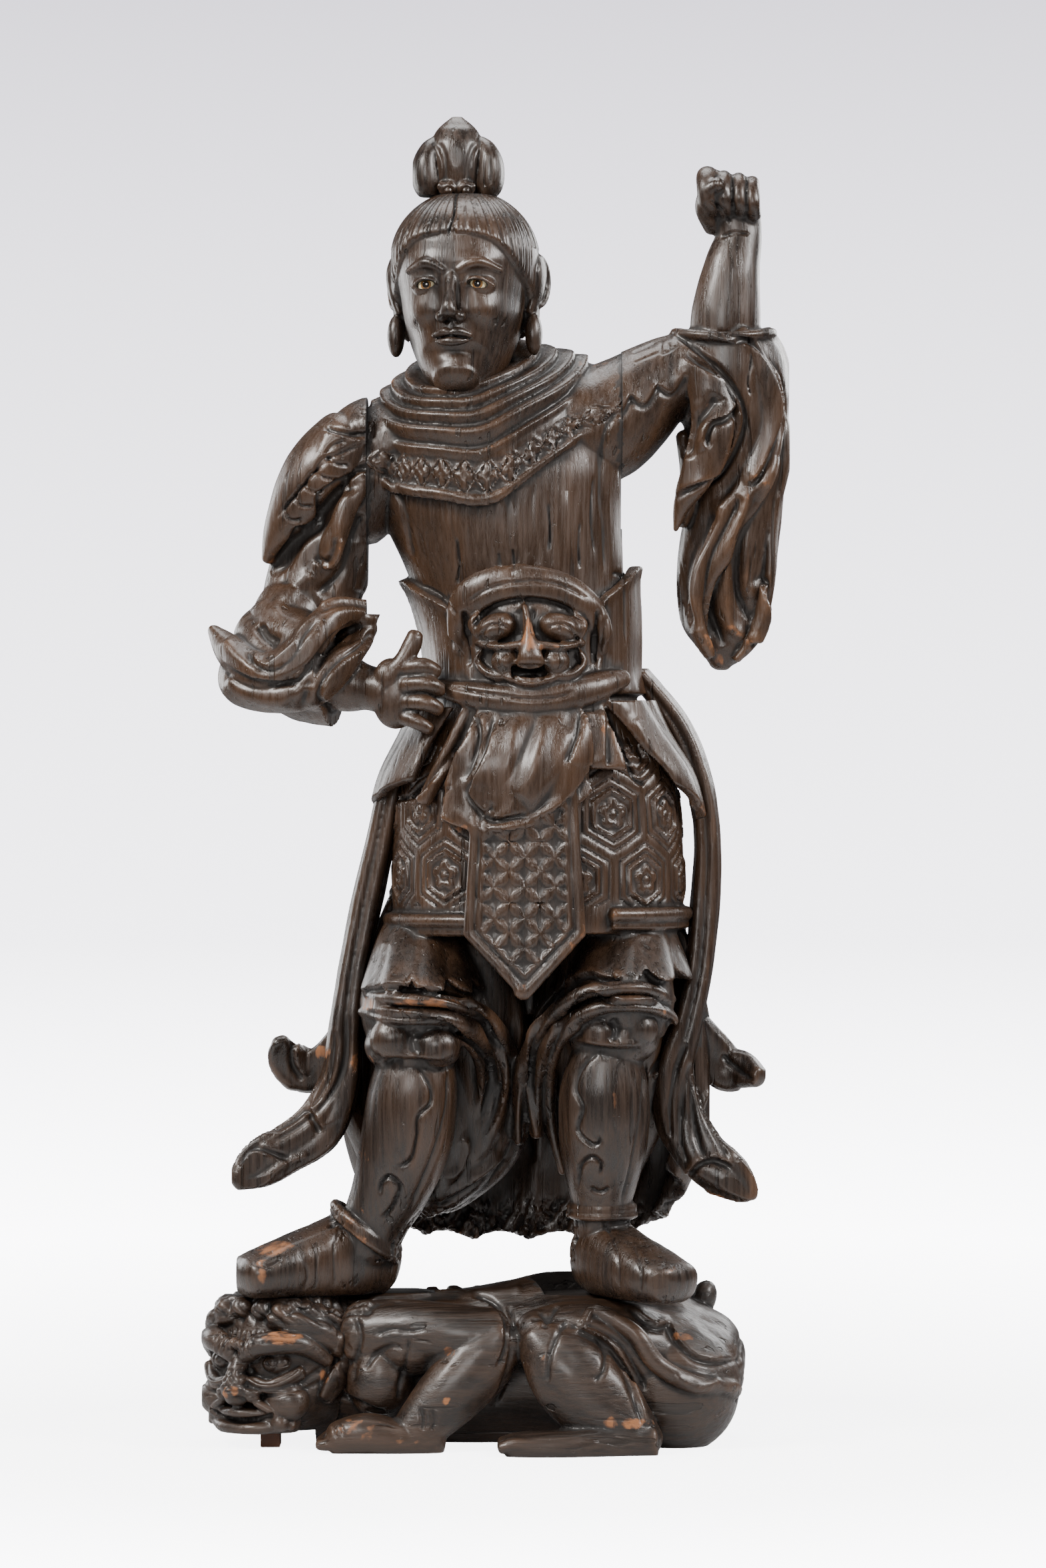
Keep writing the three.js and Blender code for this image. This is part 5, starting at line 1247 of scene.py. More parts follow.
def cut_hair(p, n, depth):
    """Combed strands from the hairline to the knot, with a split down the middle."""
    q = local(p, HEAD_BASE, HEAD_TURN)
    turn = np.arctan2(q[:, 0], -(q[:, 1] - 4))
    y, a, b = head_section(q[:, 2])
    out = np.hypot(q[:, 0] / a, (q[:, 1] - y) / b)
    ears = (np.abs(q[:, 0]) > 86) & (q[:, 2] < 172) & (q[:, 1] > -24) & (q[:, 1] < 40)
    mask = (q[:, 2] > 30) * (out < 1.3) * ~ears * rise(-1, 3, q[:, 2] - hairline(turn))
    sway = 0.5 * np.sin(q[:, 2] / 40 + 2.4 * turn)
    over = np.clip((243 - q[:, 2]) / 120, 0, 1)
    strand = ridges(78 * turn / TURN + sway) * 0.9 + ridges(39 * turn / TURN + 0.5 * sway) * 1.0
    depth += mask * strand * (0.35 + 0.65 * over)
    split = np.exp(-((q[:, 0] + 2 * np.sin(q[:, 2] / 9)) ** 2) / 2.4) * (q[:, 1] < -20)
    depth -= mask * 4 * split


def cut_face(p, n, depth):
    """Soft cheeks, chin and brow, then the mouth's line, the nostrils and the ears' folds."""
    q = local(p, HEAD_BASE, HEAD_TURN)
    x, y, z = q.T
    front = rise(10, 45, -y) * (z < 175)
    mound = lambda cx, cz, wx, wz: np.exp(-(((x - cx) / wx) ** 2) - ((z - cz) / wz) ** 2)
    for side in (-1, 1):
        depth += front * 6.5 * mound(41 * side, 88, 21, 20)
        depth -= front * 2.5 * mound(60 * side, 60, 14, 22)
        depth += front * 3.0 * mound(34 * side, 152, 28, 9)
        depth -= front * 3.4 * mound(20 * side, 104, 7, 16)
    depth += front * (4 * mound(0, 24, 28, 15) - 3.4 * mound(0, 37, 17, 6) + 2 * mound(0, 62, 24, 14))
    i = within(q, (-30, -125, 30), (30, -70, 100))
    x, z = q[i, 0], q[i, 2]
    bow = 54.5 - 0.004 * x * x + 1.5 * ridge(x, 6)
    depth[i] -= 3.2 * ridge(z - bow, 1.6) * rise(-26, -18, -np.abs(x))
    depth[i] -= 1.4 * np.exp(-((x / 3) ** 2) - ((z - 68) / 6) ** 2)
    for side in (-1, 1):
        depth[i] -= 3.0 * np.exp(-(((x - 6.5 * side) / 3) ** 2) - ((z - 75) / 2.4) ** 2)


def cut_collar(p, n, depth):
    """Four-leaved flowers in lozenges along the yoke's band."""
    i = within(p, (-190, -170, 1170), (170, -10, 1420))
    q = p[i]
    turn = np.arctan2((q[:, 0] + 17) / 158, -q[:, 1] / COLLAR_DEPTH)
    high, low = collar_heights(turn)
    v = np.full(len(i), 0.8)
    for _ in range(8):
        v = np.clip((high + 0.55 * collar_swell(v, turn) - q[:, 2]) / (high - low), 0, 1.1)
    mask = rise(0.675, 0.70, v) * rise(-0.925, -0.90, -v) * rise(0.1, 0.3, np.cos(turn))
    cell = turn * 148 / 27
    cell = cell - np.round(cell)
    across = (v - 0.80) / 0.125
    radius, angle = np.hypot(cell * 2, across), np.arctan2(across, cell * 2)
    petal = rise(-0.08, 0.08, 0.32 + 0.42 * np.abs(np.cos(2 * angle)) - radius)
    lozenge = ridge(np.abs(cell) * 2 + np.abs(across) - 1.08, 0.1)
    depth[i] += mask * (3.2 * petal + 2.4 * lozenge - 2.2 * ridge(radius, 0.14) - 1.6)


def cut_skirt(p, n, depth):
    """Honeycomb armour: double six-sided frames with a five-petalled flower in each."""
    i = within(p, (-160, -200, 694), (250, 90, 905))
    angle, z, lift = off_trunk(p[i])
    mask = rise(-7, -4, -np.abs(lift)) * (z > 700)
    mask *= np.abs(p[i, 0] - PANEL_MIDDLE) > 70
    pitch = 96
    s = np.radians(angle) * 172
    u = np.where(p[i, 0] > PANEL_MIDDLE, s - 93, s + 118)
    w = z - np.where(p[i, 0] > PANEL_MIDDLE, 817, 740)
    h = pitch * math.sqrt(3)
    best = np.full(len(i), 1e9)
    gx = gz = np.zeros(len(i))
    for shift in (0, 0.5):
        a = u - pitch * (np.round(u / pitch - shift) + shift)
        b = w - h * (np.round(w / h - shift) + shift)
        r = a * a + b * b
        gx, gz = np.where(r < best, a, gx), np.where(r < best, b, gz)
        best = np.minimum(best, r)
    hexed = np.maximum(np.abs(gx), np.abs(gx) * 0.5 + np.abs(gz) * 0.866)
    line = lambda at, wide: ridge(hexed - at, wide)
    radius, spin = np.hypot(gx, gz), np.arctan2(gx, gz)
    petals = 19 * (0.62 + 0.38 * np.abs(np.cos(2.5 * spin)))
    flower = rise(-2, 2, petals - radius) * 3.2 - 2.4 * np.exp(-((radius - 6.5) ** 2) / 2)
    vein = ridge(np.sin(2.5 * spin) * radius, 1.8) * (radius > 8) * (radius < 16)
    relief = 2.6 * line(26, 1.9) - 2.2 * line(30.5, 1.8) - 2.4 * line(40.5, 1.7) - 1.2 * (hexed < 24)
    depth[i] += mask * (relief + flower - 1.2 * vein)


def cut_panel(p, n, depth):
    """Overlapping circles on the hanging panel: four-leaved flowers with a vein in each leaf."""
    i = within(p, (PANEL_MIDDLE - 56, -180, 600), (PANEL_MIDDLE + 56, -128, 846))
    x, z = p[i, 0] - PANEL_MIDDLE, p[i, 2]
    half = np.where(z > PANEL_SHOULDER, 55, 55 * (z - 612) / (PANEL_SHOULDER - 612))
    face = panel_front(x, z, 10)[:, 1]
    mask = rise(0, 5, half - np.abs(x)) * (n[i, 1] < -0.3) * rise(-6, -3, -np.abs(p[i, 1] - face))
    pitch = 27
    a, b = (x + z) / math.sqrt(2) / pitch, (x - z) / math.sqrt(2) / pitch
    relief = np.full(len(i), -1.6)
    for along_leaf, across in ((a, b), (b, a)):
        t = along_leaf - np.floor(along_leaf)
        off = np.abs(across - np.round(across))
        width = 0.27 * np.sin(math.pi * t)
        leaf = np.clip(1 - off / np.maximum(width, 1e-3), 0, 1)
        vein = ridge(off, 0.04) * np.sin(math.pi * t)
        relief = np.maximum(relief, 3.4 * np.sqrt(leaf) - 1.6 - 1.6 * vein)
    depth[i] += mask * relief


GREAVE_SCROLLS = [
    [(-109, 497), (-92, 471), (-91, 448), (-107, 430), (-109, 404), (-117, 375), (-138, 365)],
    [(-156, 330), (-154, 346), (-143, 354), (-130, 341), (-140, 315), (-156, 299)],
    [(-152, 494), (-140, 499), (-126, 497)],
    [(128, 517), (103, 496), (93, 467), (103, 442), (96, 414), (115, 395), (125, 399), (120, 408)],
    [(96, 335), (100, 367), (115, 379), (127, 370), (124, 356)],
    [(112, 340), (126, 334), (138, 340)],
    [(184, 505), (178, 430), (166, 367), (153, 319)],
    [(-68, 490), (-70, 440), (-88, 380), (-118, 310)],
]
BELT_LINES = [
    [(-49, 1083), (-14, 1105), (33, 1114), (76, 1109), (111, 1090)],
    [(-100, 1108), (-76, 1094), (-56, 1068)],
    [(134, 1070), (126, 1032), (124, 1012)],
    [(140, 1124), (156, 1112), (158, 1030)],
    [(-74, 982), (-40, 974), (-4, 968), (36, 963), (73, 966), (92, 974)],
]
BELT_GAPS = [
    [(-50, 1076), (-45, 1058), (-43, 1030), (-42, 1004)],
    [(-39, 1057), (-9, 1081), (33, 1089), (76, 1081), (112, 1057)],
    [(124, 1080), (118, 1040), (119, 1008)],
]
APRON_LAPS = [
    [(-30, 945), (-24, 920), (-30, 888), (-46, 856)],
    [(-31, 943), (-56, 896), (-89, 858), (-111, 836), (-138, 832)],
    [(-6, 944), (-16, 900), (-36, 858), (-40, 840), (-14, 813), (11, 815), (31, 820)],
    [(180, 850), (163, 862), (150, 900), (133, 944)],
    [(104, 950), (100, 920), (86, 880)],
    [(132, 878), (131, 910), (131, 950)],
]
APRON_FOLDS = [
    [(18, 940), (12, 890), (0, 850), (-16, 828)],
    [(56, 942), (48, 900), (36, 862), (18, 838)],
    [(84, 930), (78, 900), (66, 870), (44, 842), (30, 830)],
    [(-60, 826), (-44, 806), (-16, 796), (20, 800), (52, 812), (84, 834)],
    [(-96, 930), (-104, 890), (-118, 856)],
    [(168, 940), (190, 890), (206, 840)],
]
LEG_LAPS = [
    [(-180, 568), (-138, 562), (-99, 558), (-68, 551), (-47, 536), (-29, 521), (-20, 500)],
    [(-184, 592), (-140, 598), (-96, 594), (-58, 584), (-30, 566), (-8, 536), (2, 492), (-4, 440),
     (-22, 404)],
    [(218, 577), (184, 577), (150, 577), (115, 590), (84, 568), (65, 530), (56, 500)][::-1],
    [(176, 608), (137, 606), (109, 612), (74, 590), (48, 556), (36, 520), (34, 470), (44, 410)][::-1],
    [(-86, 320), (-60, 333), (-26, 354), (4, 380)],
    [(220, 556), (210, 511), (191, 480)],
]
LEG_VALLEYS = [
    [(8, 560), (16, 500), (12, 440), (-6, 390), (-40, 360)],
    [(-20, 560), (-12, 520), (-14, 470), (-28, 420)],
    [(30, 540), (26, 480), (30, 420), (40, 370)],
    [(-112, 541), (-114, 526), (-112, 510)],
    [(140, 556), (146, 540), (142, 526)],
    [(-164, 504), (-134, 501), (-104, 500), (-58, 497)],
    [(92, 523), (131, 515), (182, 514)],
]
LEG_RIDGES = [
    [(-158, 507), (-134, 509), (-108, 508), (-66, 503)],
    [(94, 529), (131, 523), (180, 522)],
    [(20, 600), (22, 540), (18, 470)],
    [(-50, 404), (-44, 390), (-52, 366), (-70, 350)],
]
ARMHOLES = [
    [(-150, 1250), (-131, 1216), (-122, 1180), (-116, 1140)][::-1],
    [(150, 1330), (134, 1300), (128, 1240), (132, 1180), (136, 1120)],
]
BOOT_LINES = [
    [(-260, 262), (-248, 232), (-252, 208)],
    [(-200, 300), (-214, 268), (-212, 214)],
    [(-318, 246), (-300, 240), (-280, 250)],
    [(168, 268), (178, 236), (176, 208)],
    [(128, 300), (146, 262), (150, 214)],
]
CHEST_CRACKS = [
    [(60, 1214), (62, 1180), (60, 1152)],
    [(-58, 1170), (-54, 1138), (-58, 1108)],
    [(118, 1250), (114, 1200), (118, 1150)],
    [(14, 1156), (16, 1136), (14, 1118)],
    [(-4, 1150), (-2, 1132)],
    [(100, 1190), (98, 1160), (100, 1130)],
]


def cut_figure_lines(p, n, depth):
    strokes(
        p, n, depth,
        (GREAVE_SCROLLS, groove, 2.8, 4.6),
        (BOOT_LINES, groove, 2.0, 2.2),
        (CHEST_CRACKS, groove, 1.8, 3),
        (BELT_LINES, groove, 2.2, 2.6),
        (BELT_GAPS, groove, 3.6, 7),
        (LION_MOUTH, groove, 8, 12),
        (LION_FLAMES, groove, 2.0, 2.8),
        (APRON_LAPS, lap, 14, 5),
        (APRON_FOLDS, ridge, 9, 4),
        (LEG_LAPS, lap, 13, 6),
        (LEG_VALLEYS, groove, 7, 5),
        (LEG_RIDGES, ridge, 5, 4),
        (ARMHOLES, lap, 20, 2.6),
    )
    i = within(p, (-120, -140, 1130), (140, -40, 1225))
    grain = noise(p[i] * np.array([1, 1, 0.05]), 3.0, 3) + 0.7 * noise(p[i] * np.array([1, 1, 0.09]), 7, 9)
    depth[i] += 0.8 * grain * (n[i, 1] < -0.3)


LION_MOUTH = [[(12, 995), (26, 996), (42, 996), (54, 995)]]
LION_FLAMES = [
    [(-28, 1040), (-20, 1054), (-6, 1060), (10, 1052)],
    [(94, 1042), (86, 1056), (72, 1060), (56, 1052)],
    [(-34, 1006), (-28, 1022), (-34, 1034)],
    [(100, 1006), (96, 1022), (102, 1034)],
    [(24, 1078), (28, 1062), (25, 1044)],
    [(42, 1078), (38, 1062), (41, 1044)],
]


def cut_worn_hem(p, n, depth):
    """Worm-eaten wood along the robe's lower edge."""
    i = within(p, (-220, -60, 250), (260, 200, 350))
    low = 1 - rise(285, 335, p[i, 2])
    pits = np.minimum(noise(p[i], 7, 5), 0) * 9 + np.minimum(noise(p[i], 3.6, 8), 0) * 5
    depth[i] += low * pits


def cut_gouges(p, n, depth):
    """Shallow hollows that a gouge leaves, and old wear."""
    depth += 0.5 * noise(p, 26, 1) + 0.28 * noise(p * np.array([1, 1, 0.35]), 9, 2)


FEATHERS = [
    [(-178, 1289), (-212, 1274), (-236, 1256), (-256, 1232), (-274, 1212), (-286, 1194)],
    *[[(-200 - 15 * k, 1292 - 17 * k), (-216 - 14 * k, 1286 - 18 * k), (-226 - 13 * k, 1274 - 18 * k)]
      for k in range(5)],
    *[[(-196 - 15 * k, 1262 - 17 * k), (-212 - 14 * k, 1264 - 18 * k), (-226 - 13 * k, 1274 - 18 * k)]
      for k in range(5)],
]


def cut_lowered_arm(p, n, depth):
    strokes(
        p, n, depth,
        (FEATHERS, groove, 2.2, 3.4),
        (GUARD_EDGE, lap, 16, 6),
        (SLEEVE_LAPS, lap, 13, 5),
        (SLEEVE_VALLEYS, groove, 7, 6),
        (SLEEVE_RIDGES, ridge, 9, 4),
    )
    i = within(p, (-176, -120, 1240), (-120, 0, 1330))
    depth[i] += 2.2 * noise(p[i], 6, 4) + 1.6 * noise(p[i], 3.5, 6)
    draw(p, n, depth, FINGER_LINES, groove, 1.3, 1.6)


FINGER_LINES = [
    [(-112, 1052), (-106, 1046), (-100, 1050)],
    [(-122, 992), (-100, 993), (-84, 988)],
    [(-124, 970), (-98, 971), (-80, 962)],
    [(-124, 950), (-104, 947), (-86, 938)],
]
GUARD_EDGE = [
    [(-294, 1140), (-274, 1168), (-264, 1184), (-250, 1188), (-238, 1200), (-238, 1224), (-218, 1241),
     (-190, 1256), (-167, 1270)],
    [(-228, 1306), (-210, 1300), (-186, 1296), (-160, 1300)][::-1],
]
SLEEVE_LAPS = [
    [(-188, 1066), (-218, 1047), (-239, 1021), (-256, 997), (-271, 989), (-316, 991), (-356, 1012)][::-1],
    [(-161, 1048), (-176, 1030), (-206, 1009), (-224, 988), (-230, 967), (-218, 957)],
    [(-236, 1080), (-206, 1089), (-170, 1085), (-156, 1072)],
    [(-236, 1068), (-256, 1047), (-268, 1021), (-292, 1003), (-313, 1010), (-320, 1024)][::-1],
    [(-208, 1170), (-212, 1150), (-222, 1134), (-240, 1140)],
]
SLEEVE_VALLEYS = [
    [(-176, 1240), (-206, 1228), (-226, 1206), (-232, 1184), (-256, 1166), (-276, 1138), (-294, 1122)],
    [(-176, 1200), (-191, 1170), (-206, 1125), (-236, 1096)],
    [(-164, 1050), (-194, 1041), (-218, 1029), (-236, 1006), (-248, 979), (-256, 946)],
    [(-310, 1058), (-300, 1044), (-284, 1034)],
]
SLEEVE_RIDGES = [
    [(-194, 1232), (-206, 1200), (-209, 1170), (-221, 1136)],
    [(-242, 1125), (-268, 1100), (-294, 1070)],
    [(-172, 1170), (-176, 1130), (-186, 1100)],
    [(-202, 1046), (-230, 1010), (-250, 972)],
    [(-352, 1040), (-336, 1016), (-306, 1004)],
    [(-350, 990), (-320, 966), (-270, 958)],
]


KEY_BAND = [
    [(166, 1404), (196, 1418)], [(168, 1392), (200, 1406)],
    [(204, 1420), (204, 1404), (222, 1412), (222, 1424)],
    [(212, 1418), (214, 1410), (218, 1412)],
]
SCALLOPS = [
    [(130 + 34 * k, 1340 + 13 * k), (148 + 34 * k, 1326 + 14 * k), (164 + 34 * k, 1353 + 13 * k)]
    for k in range(3)
]


def cut_raised_arm(p, n, depth):
    strokes(
        p, n, depth,
        (KEY_BAND, groove, 1.5, 1.5),
        (SCALLOPS, lap, 9, 3),
        (HANGING_LAPS, lap, 15, 7),
        (HANGING_RIDGES, ridge, 8, 6),
        (HANGING_VALLEYS, groove, 8, 9),
        ([[(316, 1426), (318, 1400), (314, 1368), (318, 1350)]], groove, 1.4, 2.6),
        (FIST_LINES, groove, 1.6, 2.4),
    )


FIST_LINES = [
    [(274, 1634), (273, 1606), (276, 1588)],
    [(295, 1630), (294, 1604), (297, 1586)],
    [(313, 1626), (312, 1602), (314, 1584)],
    [(280, 1552), (296, 1558), (316, 1556)],
    [(266, 1600), (280, 1588), (292, 1570)],
]
HANGING_LAPS = [
    [(311, 1235), (326, 1248), (341, 1278), (354, 1312), (357, 1342), (343, 1385), (318, 1413), (270, 1428)],
    [(219, 1222), (241, 1235), (271, 1248), (290, 1273), (303, 1303), (306, 1325), (296, 1355), (279, 1376),
     (249, 1402), (215, 1430)],
    [(262, 1282), (258, 1295), (266, 1316), (286, 1325), (293, 1342), (284, 1363), (258, 1381), (230, 1400)],
    [(317, 1034), (334, 1040), (341, 1068), (338, 1098), (331, 1118)],
]
HANGING_RIDGES = [
    [(292, 1226), (262, 1183), (245, 1132), (243, 1089), (252, 1050), (271, 1008)],
    [(322, 1235), (301, 1188), (288, 1145), (286, 1098), (292, 1059), (318, 1035)],
    [(352, 1273), (331, 1226), (312, 1175), (309, 1128), (316, 1090)],
]
HANGING_VALLEYS = [
    [(275, 1210), (256, 1170), (236, 1130), (233, 1090), (248, 1050)],
    [(306, 1222), (286, 1183), (264, 1136), (264, 1080), (284, 1030)],
    [(334, 1240), (312, 1186), (301, 1140), (302, 1100), (318, 1062)],
    [(276, 1350), (262, 1330), (244, 1310), (236, 1270)],
]


def cut_knot(p, n, depth):
    strokes(
        p, n, depth,
        (KNOT_CURLS, groove, 1.7, 2.4),
        (KNOT_LINES, lap, 7, 2.4),
    )


KNOT_LINES = [
    [(-30, 1672), (-38, 1650), (-38, 1628), (-30, 1608)],
    [(-84, 1672), (-76, 1650), (-76, 1628), (-84, 1608)][::-1],
]
KNOT_CURLS = [
    [(-57 + across * side, z) for across, z in ((5, 1603), (6, 1613), (13, 1616), (18, 1610), (13, 1605))]
    for side in (-1, 1)
]


DEMON_LINES = [
    [(-186, 176), (-180, 150), (-186, 120), (-190, 90)],
    [(-162, 152), (-140, 160), (-116, 158), (-96, 162)],
    [(-118, 150), (-122, 120), (-130, 90), (-132, 66)],
    [(-176, 108), (-160, 128), (-140, 138), (-124, 134)],
    [(-104, 60), (-100, 44), (-102, 30)],
    [(-90, 58), (-86, 42), (-90, 30)],
    [(8, 190), (14, 160), (8, 110), (-10, 60)],
    [(84, 172), (70, 150), (60, 120), (58, 90)],
    [(46, 184), (56, 172), (54, 160)],
    [(70, 190), (62, 176), (60, 168)],
    [(186, 80), (170, 110), (150, 140), (120, 160), (84, 168)],
    [(120, 150), (132, 130), (130, 108), (118, 92)],
    [(-206, 78), (-176, 66), (-146, 52)],
]
DEMON_LAPS = [
    [(160, 192), (176, 178), (196, 164), (212, 166), (224, 146), (246, 126), (272, 120), (304, 124)],
    [(296, 68), (306, 84), (308, 124)],
    [(-48, 206), (-80, 204), (-120, 200), (-160, 196), (-180, 176)][::-1],
    [(-40, 200), (-14, 190), (0, 170), (2, 140), (-10, 110)][::-1],
    [(184, 36), (170, 80), (156, 116), (130, 146), (84, 170)][::-1],
    [(-234, 84), (-214, 92), (-200, 80), (-170, 64), (-150, 56)],
]
DEMON_RIDGES = [
    [(26, 214), (4, 208), (-40, 206), (-90, 204)],
    [(60, 226), (100, 222), (140, 208)],
    [(220, 100), (250, 84), (280, 96)],
]


def cut_demon(p, n, depth):
    strokes(
        p, n, depth,
        (DEMON_LINES, groove, 3.4, 3.4),
        (DEMON_LAPS, lap, 14, 4.5),
        (DEMON_RIDGES, ridge, 6, 3),
    )
    fingers = [[(-232 + 9 * k, 46), (-222 + 9 * k, 34), (-220 + 9 * k, 20)] for k in range(3)]
    draw(p, n, depth, fingers, groove, 1.6, 1.6)
    i = within(p, (-250, -90, 120), (-150, 140, 215))
    lock = ridges((p[i, 1] + 0.35 * p[i, 0]) / 11 + 0.3 * np.sin(p[i, 0] / 16))
    depth[i] += 1.6 * lock * rise(-250, -230, p[i, 0]) * rise(150, 180, -p[i, 0])


def cut_demon_head(p, n, depth):
    q = local(p, DEMON_HEAD_PLACE, DEMON_HEAD_TURN)
    x, y, z = q.T
    back = rise(54, 64, z) + (y > -30) * (z > -40) * (np.abs(x) > 50) + (y > 0)
    turn = np.arctan2(x, -y)
    wave = ridges(26 * turn / TURN + 0.4 * np.sin(z / 11) + 0.2 * np.sin(z / 6 + turn))
    depth += 1.5 * wave * np.clip(back, 0, 1)
    face = (y < -40) & (z < 50)
    for side in (-1, 1):
        pupil = np.hypot(x - 38 * side, z - 12)
        depth -= face * 2.2 * ridge(pupil, 4)
        depth -= face * 1.4 * ridge(pupil - 11, 1.6)
        nostril = np.hypot((x - 13 * side) / 1.3, z + 31)
        depth -= face * 5 * ridge(nostril, 4)
        under = np.hypot((x - 40 * side) / 1.25, z - 16)
        for k, size in enumerate((26, 35, 44)):
            arc = (z < 6) * rise(-0.2, 0.4, -(z - 10) / size)
            depth -= face * (2.6 - 0.4 * k) * ridge(under - size, 2.4) * arc
    mouth = -60 + 0.004 * x * x
    depth -= face * 4.5 * ridge(z - mouth, 2.6) * (np.abs(x) < 50)
    frown = ridges(np.abs(x) / 8 + z / 30)
    depth += face * 1.2 * frown * rise(18, 30, z) * (np.abs(x) < 30)
    draw(p, n, depth, DEMON_BROW, groove, 1.5, 2.2)


DEMON_BROW = [
    [(-316, 150), (-296, 154), (-276, 150), (-258, 152)],
    [(-308, 142), (-286, 144), (-262, 140)],
    [(-270, 196), (-256, 184), (-242, 190), (-248, 202), (-262, 200)],
    [(-238, 196), (-226, 180), (-212, 186)],
]


# Materials


def new_group(name, inputs, outputs):
    group = bpy.data.node_groups.new(name, "ShaderNodeTree")
    for label, kind, value in inputs:
        socket = group.interface.new_socket(label, in_out="INPUT", socket_type=kind)
        if value is not None:
            socket.default_value = value
    for label, kind in outputs:
        group.interface.new_socket(label, in_out="OUTPUT", socket_type=kind)
    return group, group.nodes.new("NodeGroupInput"), group.nodes.new("NodeGroupOutput")


def feed(tree, node, values):
    """Links sockets into a node's inputs and sets plain values, by input name or number."""
    for key, source in values.items():
        if isinstance(source, bpy.types.NodeSocket):
            tree.links.new(source, node.inputs[key])
        else:
            node.inputs[key].default_value = source


def add_node(tree, kind, inputs=None, **values):
    node = tree.nodes.new(kind)
    for key, value in values.items():
        setattr(node, key, value)
    feed(tree, node, inputs or {})
    return node


def math_node(tree, operation, a, b, clamp):
    return add_node(tree, "ShaderNodeMath", {0: a, 1: b}, operation=operation, use_clamp=clamp).outputs[0]


def times(tree, a, b, clamp=False):
    return math_node(tree, "MULTIPLY", a, b, clamp)


def plus(tree, a, b, clamp=False):
    return math_node(tree, "ADD", a, b, clamp)


def less(tree, a, b):
    return math_node(tree, "SUBTRACT", a, b, False)


def ramp(tree, source, low, high):
    """0 at low and 1 at high."""
    links = {"Value": source, "From Min": low, "From Max": high}
    return add_node(tree, "ShaderNodeMapRange", links, clamp=True).outputs["Result"]


def blend_colour(tree, share, a, b):
    return add_node(tree, "ShaderNodeMix", {0: share, 6: a, 7: b}, data_type="RGBA").outputs[2]


def noise_node(tree, vector, scale, detail=2.0, roughness=0.5, distortion=0.0):
    inputs = {"Vector": vector, "Scale": scale, "Detail": detail, "Roughness": roughness,
              "Distortion": distortion}
    return add_node(tree, "ShaderNodeTexNoise", inputs).outputs[0]


def drawn_out(tree, vector, share):
    """A vector whose noise is drawn out along Z."""
    return add_node(tree, "ShaderNodeMapping", {"Vector": vector, "Scale": (1, 1, share)}).outputs[0]


def shade(colour, share):
    return tuple(c * share for c in colour[:3]) + (1,)


def new_material(name):
    material = bpy.data.materials.new(name)
    material.use_nodes = True
    tree = material.node_tree
    return material, tree, tree.nodes["Principled BSDF"]


def grain_group():
    """Wood grain along one axis: fine fibres, broad growth figure and checks."""
    group, inner, outer = new_group(
        "Wood Grain",
        [("Vector", "NodeSocketVector", None), ("Fibres", "NodeSocketFloat", 260.0)],
        [("Fibre", "NodeSocketFloat"), ("Figure", "NodeSocketFloat"), ("Checks", "NodeSocketFloat")],
    )
    vector = inner.outputs["Vector"]
    fibre = noise_node(group, drawn_out(group, vector, 0.05), inner.outputs["Fibres"], 5.0, 0.65)
    figure = noise_node(group, drawn_out(group, vector, 0.12), 28.0, 4.0, distortion=0.6)
    cells = noise_node(group, drawn_out(group, vector, 0.03), 95.0)
    feed(group, outer, {"Fibre": fibre, "Figure": figure, "Checks": ramp(group, cells, 0.64, 0.7)})
    return group


def wear_and_shade_group():
    """Masks from the carving: rubbed edges, painted shade in the hollows and patches worn down to bare wood.
    """
    group, inner, outer = new_group(
        "Carving Wear",
        [("Vector", "NodeSocketVector", None)],
        [(label, "NodeSocketFloat") for label in ("Rubbed", "Hollow", "Patches", "Pits")],
    )
    edge, swell, bare = (
        add_node(group, "ShaderNodeAttribute", attribute_name=label).outputs["Fac"]
        for label in ("edge", "swell", "bare")
    )
    cloud = noise_node(group, inner.outputs["Vector"], 11.0, 6.0, 0.6)
    speck = noise_node(group, inner.outputs["Vector"], 90.0, 5.0, 0.7)
    raised = plus(group, ramp(group, edge, 0.58, 1.0), ramp(group, swell, 0.66, 1.0))
    broken = times(group, raised, ramp(group, cloud, 0.45, 0.7))
    # Painted shade: points that sink below their surroundings, for near-black colour in the hollows
    low = plus(group, ramp(group, edge, 0.46, 0.2), ramp(group, swell, 0.46, 0.1))
    chance = plus(group, cloud, times(group, speck, 0.35))
    lifted = plus(group, chance, times(group, edge, 0.2))
    chipped = ramp(group, plus(group, bare, times(group, speck, 0.5)), 0.55, 0.8)
    feed(group, outer, {
        "Rubbed": times(group, broken, 0.7, clamp=True),
        "Hollow": times(group, low, 0.9, clamp=True),
        "Patches": math_node(group, "MAXIMUM", ramp(group, lifted, 1.0, 1.06), chipped, False),
        "Pits": ramp(group, speck, 0.66, 0.74),
    })
    return group


CRACK_COLOUR = (0.004, 0.003, 0.002, 1)
GLOSS = 0.42
BUMP_DEPTH = 0.0014


